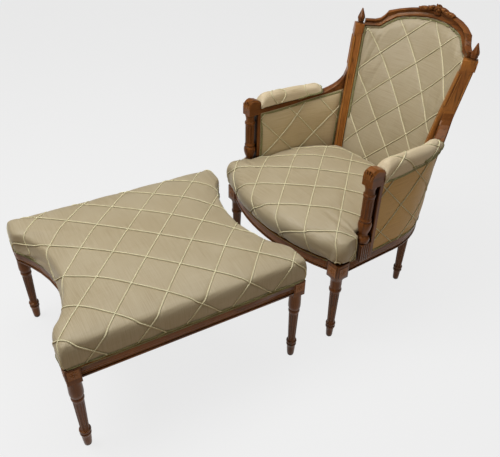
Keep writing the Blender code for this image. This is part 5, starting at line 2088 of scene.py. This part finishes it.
@dataclass
class StileBeads(Craft):
    """Beads run along the faces of the raked stiles."""

    angle: float = 42.0
    turn: float = 10.4
    clear: float = 0.12
    free_above: float = 0.765
    radii: Tuple[float, ...] = (0.0028, 0.0014, 0.0024, 0.0024, 0.0024)

    def build(self) -> None:
        """Runs the beads along both stiles."""
        for side, hand in SIDES:
            self._stile(side, hand)

    def _stile(self, side: str, hand: float) -> None:
        """Three beads on the front face and two on the inner face.

        Args:
            side: left or right.
            hand: 1 on the left, -1 on the right.
        """
        tree = tree_of("rear_post_" + side)
        runs: List[List[Vector]] = [[] for _ in self.radii]
        for height in np.arange(0.365, 0.8801, 0.0100):
            rise = height - self.setting.rail_top
            turn = math.radians(self.angle - self.turn * rise)
            out = Vector((hand * math.cos(turn), math.sin(turn), 0.0))
            front = Vector((hand * math.sin(turn), -math.cos(turn), 0.0))
            centre = self.setting.chair + Vector((0.0, BACK_CENTRE + RAKE * rise, height))
            inner = tree.ray_cast(centre + out * self.clear, out)[0]
            outer = tree.ray_cast(centre + out * 0.60, -out)[0]
            if inner is None or outer is None:
                continue
            near, far = (inner - centre).dot(out), (outer - centre).dot(out)
            if height > self.free_above:
                for index, reach in ((0, near + 0.0040), (1, near + 0.0120), (2, far - 0.0042)):
                    hit = tree.ray_cast(centre + out * reach + front * self.clear, -front)[0]
                    if hit:
                        runs[index].append(hit)
            middle = self._middle(tree, centre + out * ((near + far) / 2.0), front)
            for index, share in ((3, 1.0), (4, -1.0)):
                hit = tree.ray_cast(centre + out * self.clear + front * (middle + share * 0.0115), out)[0]
                if hit:
                    runs[index].append(hit)
        pieces = []
        for number, (run, radius) in enumerate(zip(runs, self.radii)):
            if len(run) > 6:
                line = np.array([list(point) for point in run])
                line[1:-1] = (line[:-2] + 2.0 * line[1:-1] + line[2:]) / 4.0
                pieces.append(cords_along("stile_bead_%s_%d" % (side, number), [line], radius, 2))
        beads = join(pieces, "stile_beads_" + side)
        self.finishes.dress(beads, PALE_STILE_BEECH)
        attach(beads, Body.CHAIR.value)

    def _middle(self, tree: BVHTree, inside: Vector, front: Vector) -> float:
        """How far the stile's middle lies off the ray's plane.

        Args:
            tree: The post.
            inside: A point within it.
            front: The way to its front.

        Returns:
            The distance, towards the front.
        """
        ahead = tree.ray_cast(inside + front * self.clear, -front)[0]
        behind = tree.ray_cast(inside - front * self.clear, front)[0]
        if ahead is None or behind is None:
            return 0.0
        return ((ahead - inside).dot(front) + (behind - inside).dot(front)) / 2.0


@dataclass
class Webbing:
    """Jute straps woven over and under each other beneath a seat."""

    node: str
    body: Body
    frame: Matrix
    pitch: float = 0.095
    shift: float = -0.008
    width: float = 0.050
    thickness: float = 0.0011
    turned_in: float = 0.020
    straps: int = 4
    waver: float = 0.0008

    def build(self, finishes: Finishes) -> Item:
        """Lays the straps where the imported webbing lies.

        Args:
            finishes: Where the material comes from.

        Returns:
            The webbing.
        """
        solid = copy_of(self.node, self.node + "_guide")
        place = np.array(self.frame.inverted())
        corners = points_of(solid.data) @ place[:3, :3].T + place[:3, 3]
        remove(solid)
        level = float(corners[:, 2].mean())
        straps = []
        for along in (True, False):
            for number in range(self.straps):
                spot = (number - (self.straps - 1) / 2.0) * self.pitch + (0.0 if along else self.shift)
                axis = 0 if along else 1
                near = np.abs(np.abs(corners[:, axis] - spot) - self.width / 2.0) < 0.0004
                ends = corners[near][:, 1 - axis]
                straps.append(self._strap(number, spot, float(ends.min()) + self.turned_in,
                                          float(ends.max()) - self.turned_in, along, level))
        webbing = join(straps, self.node + "_straps")
        webbing.data.transform(self.frame)
        smooth(webbing, 40.0)
        finishes.dress(webbing, JUTE)
        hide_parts(self.node)
        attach(webbing, self.body.value)
        return webbing

    def _strap(self, number: int, spot: float, low: float, high: float, along: bool,
               level: float) -> Item:
        """One strap, waving over and under those that cross it.

        Args:
            number: Its number in its row.
            spot: Where its middle line lies.
            low: Where it starts.
            high: Where it ends.
            along: Whether it runs from front to back.
            level: How high it lies.

        Returns:
            The strap.
        """
        deselect()
        bpy.ops.mesh.primitive_grid_add(x_subdivisions=4, y_subdivisions=64, size=1.0)
        strap = bpy.context.object
        points = points_of(strap.data)
        way = low + (points[:, 1] + 0.5) * (high - low)
        first = -(self.straps - 1) / 2.0 * self.pitch + (self.shift if along else 0.0)
        wave = np.cos(math.pi * (way - first) / self.pitch + math.pi * number) * (1.0 if along else -1.0)
        side = spot + points[:, 0] * self.width
        lift = level + wave * self.waver
        flat = (side, way) if along else (way, side)
        put_points(strap.data, np.column_stack((*flat, lift)))
        modify(strap, "SOLIDIFY", thickness=self.thickness, offset=0.0)
        return strap


@dataclass
class Stuffing:
    """The hessian-covered springs inside a seat frame."""

    node: str
    body: Body

    def build(self, finishes: Finishes) -> Item:
        """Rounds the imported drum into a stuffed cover.

        Args:
            finishes: Where the material comes from.

        Returns:
            The cover.
        """
        cover = copy_of(self.node, self.node + "_cover")
        bevel_edges(cover, 0.008, 50.0, 5)
        finishes.dress(cover, HESSIAN)
        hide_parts(self.node)
        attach(cover, self.body.value)
        return cover


@dataclass
class Timbers:
    """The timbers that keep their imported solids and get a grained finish."""

    upright: Tuple[str, ...] = ("front_leg", "rear_post", "arm_plinth", "arm_column", "arm_post", "stool_leg")
    across: Tuple[str, ...] = ("front_rail", "rear_rail", "crest_rail", "back_lower_rail",
                               "stool_end_rail", "corner_block", "stool_block")
    lengthwise: Tuple[str, ...] = ("side_rail", "arm_rail", "stool_side_rail")

    def dress(self, finishes: Finishes) -> None:
        """Gives every timber the grain that runs along it.

        Args:
            finishes: Where the materials come from.
        """
        for name, item in frame["nodes"].items():
            for stems, finish in ((self.upright, BEECH_UPRIGHT), (self.across, BEECH_ACROSS),
                                  (self.lengthwise, BEECH_LENGTHWISE)):
                if name.startswith(stems):
                    finishes.dress(item, finish)


# Studio

@dataclass(frozen=True)
class Lamp:
    """A square lamp that shines on the middle of the set."""

    name: str
    place: Tuple[float, float, float]
    size: float
    power: float


@dataclass
class Studio:
    """Pale floor, soft lamps and the camera."""

    camera_place: Tuple[float, float, float] = (1.3390, -1.3584, 1.5225)
    azimuth: float = 53.699
    elevation: float = 34.8715
    roll: float = 1.3125
    lens: float = 41.02
    sensor: float = 36.0
    floor_size: float = 14.0
    floor_colour: Colour = (0.86, 0.86, 0.86)
    glow: Colour = (0.875, 0.875, 0.875)
    glow_share: float = 0.90
    bounce: Colour = (0.40, 0.24, 0.085)
    room: Colour = (1.0, 0.98, 0.94)
    room_light: float = 0.17
    aim: Tuple[float, float, float] = (0.0, 0.0, 0.4)
    lamps: Tuple[Lamp, ...] = (Lamp("key", (-0.6, -1.5, 3.0), 1.5, 56.0),
                               Lamp("top", (0.0, 0.3, 3.3), 2.0, 40.0),
                               Lamp("fill", (2.8, -0.4, 1.6), 2.0, 5.0))

    def build(self, setting: Setting) -> None:
        """Sets up the floor, the light and the camera.

        Args:
            setting: Where things stand.
        """
        self._floor()
        self._light()
        self._camera(setting)
        bpy.context.scene.view_settings.view_transform = "Standard"

    def _floor(self) -> None:
        """A wide pale floor that keeps the shadow."""
        deselect()
        bpy.ops.mesh.primitive_plane_add(size=self.floor_size, location=(0.0, 0.0, 0.0))
        floor = bpy.context.object
        floor.name = "floor"
        graph = Graph("floor")
        tree = graph.tree
        path = graph.add("LightPath").outputs
        seen = graph.math("MAXIMUM", path["Is Camera Ray"], path["Is Glossy Ray"])
        shown = graph.math("MAXIMUM", seen, path["Is Transmission Ray"])
        glow = graph.add("Emission", {"Color": self.glow, "Strength": 1.0})
        tone = graph.blend(shown, self.bounce, self.floor_colour)
        matt = graph.add("BsdfDiffuse", {"Color": tone})
        mix = graph.add("MixShader", {"Fac": graph.math("MULTIPLY", shown, self.glow_share)})
        tree.links.new(matt.outputs[0], mix.inputs[1])
        tree.links.new(glow.outputs[0], mix.inputs[2])
        tree.nodes.remove(graph.shader)
        tree.links.new(mix.outputs[0], tree.nodes["Material Output"].inputs["Surface"])
        floor.data.materials.append(graph.material)
        settle(floor)

    def _light(self) -> None:
        """A pale room, a wide lamp above on the left of the view and a weak one on the right."""
        world = bpy.data.worlds.new("studio")
        world.use_nodes = True
        background = world.node_tree.nodes["Background"]
        background.inputs["Color"].default_value = (*self.room, 1.0)
        background.inputs["Strength"].default_value = self.room_light
        bpy.context.scene.world = world
        for kind in self.lamps:
            deselect()
            bpy.ops.object.light_add(type="AREA", location=kind.place)
            lamp = bpy.context.object
            lamp.name = kind.name
            lamp.data.size = kind.size
            lamp.data.energy = kind.power
            aim = Vector(self.aim) - Vector(kind.place)
            lamp.rotation_euler = aim.to_track_quat("-Z", "Y").to_euler()

    def _camera(self, setting: Setting) -> None:
        """The photograph's camera.

        Args:
            setting: Where things stand.
        """
        turn, rise, roll = (math.radians(value) for value in (self.azimuth, self.elevation, self.roll))
        back = Vector((math.sin(turn) * math.cos(rise), -math.cos(turn) * math.cos(rise), math.sin(rise)))
        right = Vector((math.cos(turn), math.sin(turn), 0.0))
        above = back.cross(right)
        level_right = math.cos(roll) * right + math.sin(roll) * above
        level_up = -math.sin(roll) * right + math.cos(roll) * above
        deselect()
        bpy.ops.object.camera_add()
        camera = bpy.context.object
        camera.name = "photograph_camera"
        axes = Matrix((level_right, level_up, back)).transposed().to_4x4()
        camera.matrix_world = Matrix.Translation(Vector(self.camera_place) + setting.chair) @ axes
        camera.data.lens = self.lens
        camera.data.sensor_width = self.sensor
        bpy.context.scene.camera = camera


def main() -> None:
    """Builds the set in order and reports each piece."""
    logging.basicConfig(level=logging.INFO, format="%(name)s: %(message)s")
    setting = Setting.read()
    finishes = Finishes()
    Timbers().dress(finishes)
    LOG.info("timbers dressed")
    Legs(setting, finishes).build()
    build_rails(setting, finishes)
    Carving(setting, finishes).build()
    StileBeads(setting, finishes).build()
    Webbing("seat_webbing", Body.CHAIR, setting.chair_frame()).build(finishes)
    Webbing("stool_webbing", Body.STOOL, setting.stool_frame(), shift=0.0).build(finishes)
    Stuffing("seat_springs", Body.CHAIR).build(finishes)
    Stuffing("stool_springs", Body.STOOL).build(finishes)
    LOG.info("legs, webbing and springs made")
    Upholstery(setting, finishes).build()
    StoolSilk(setting, finishes).build()
    Studio().build(setting)
    LOG.info("studio set")


if __name__ == "__main__":
    main()
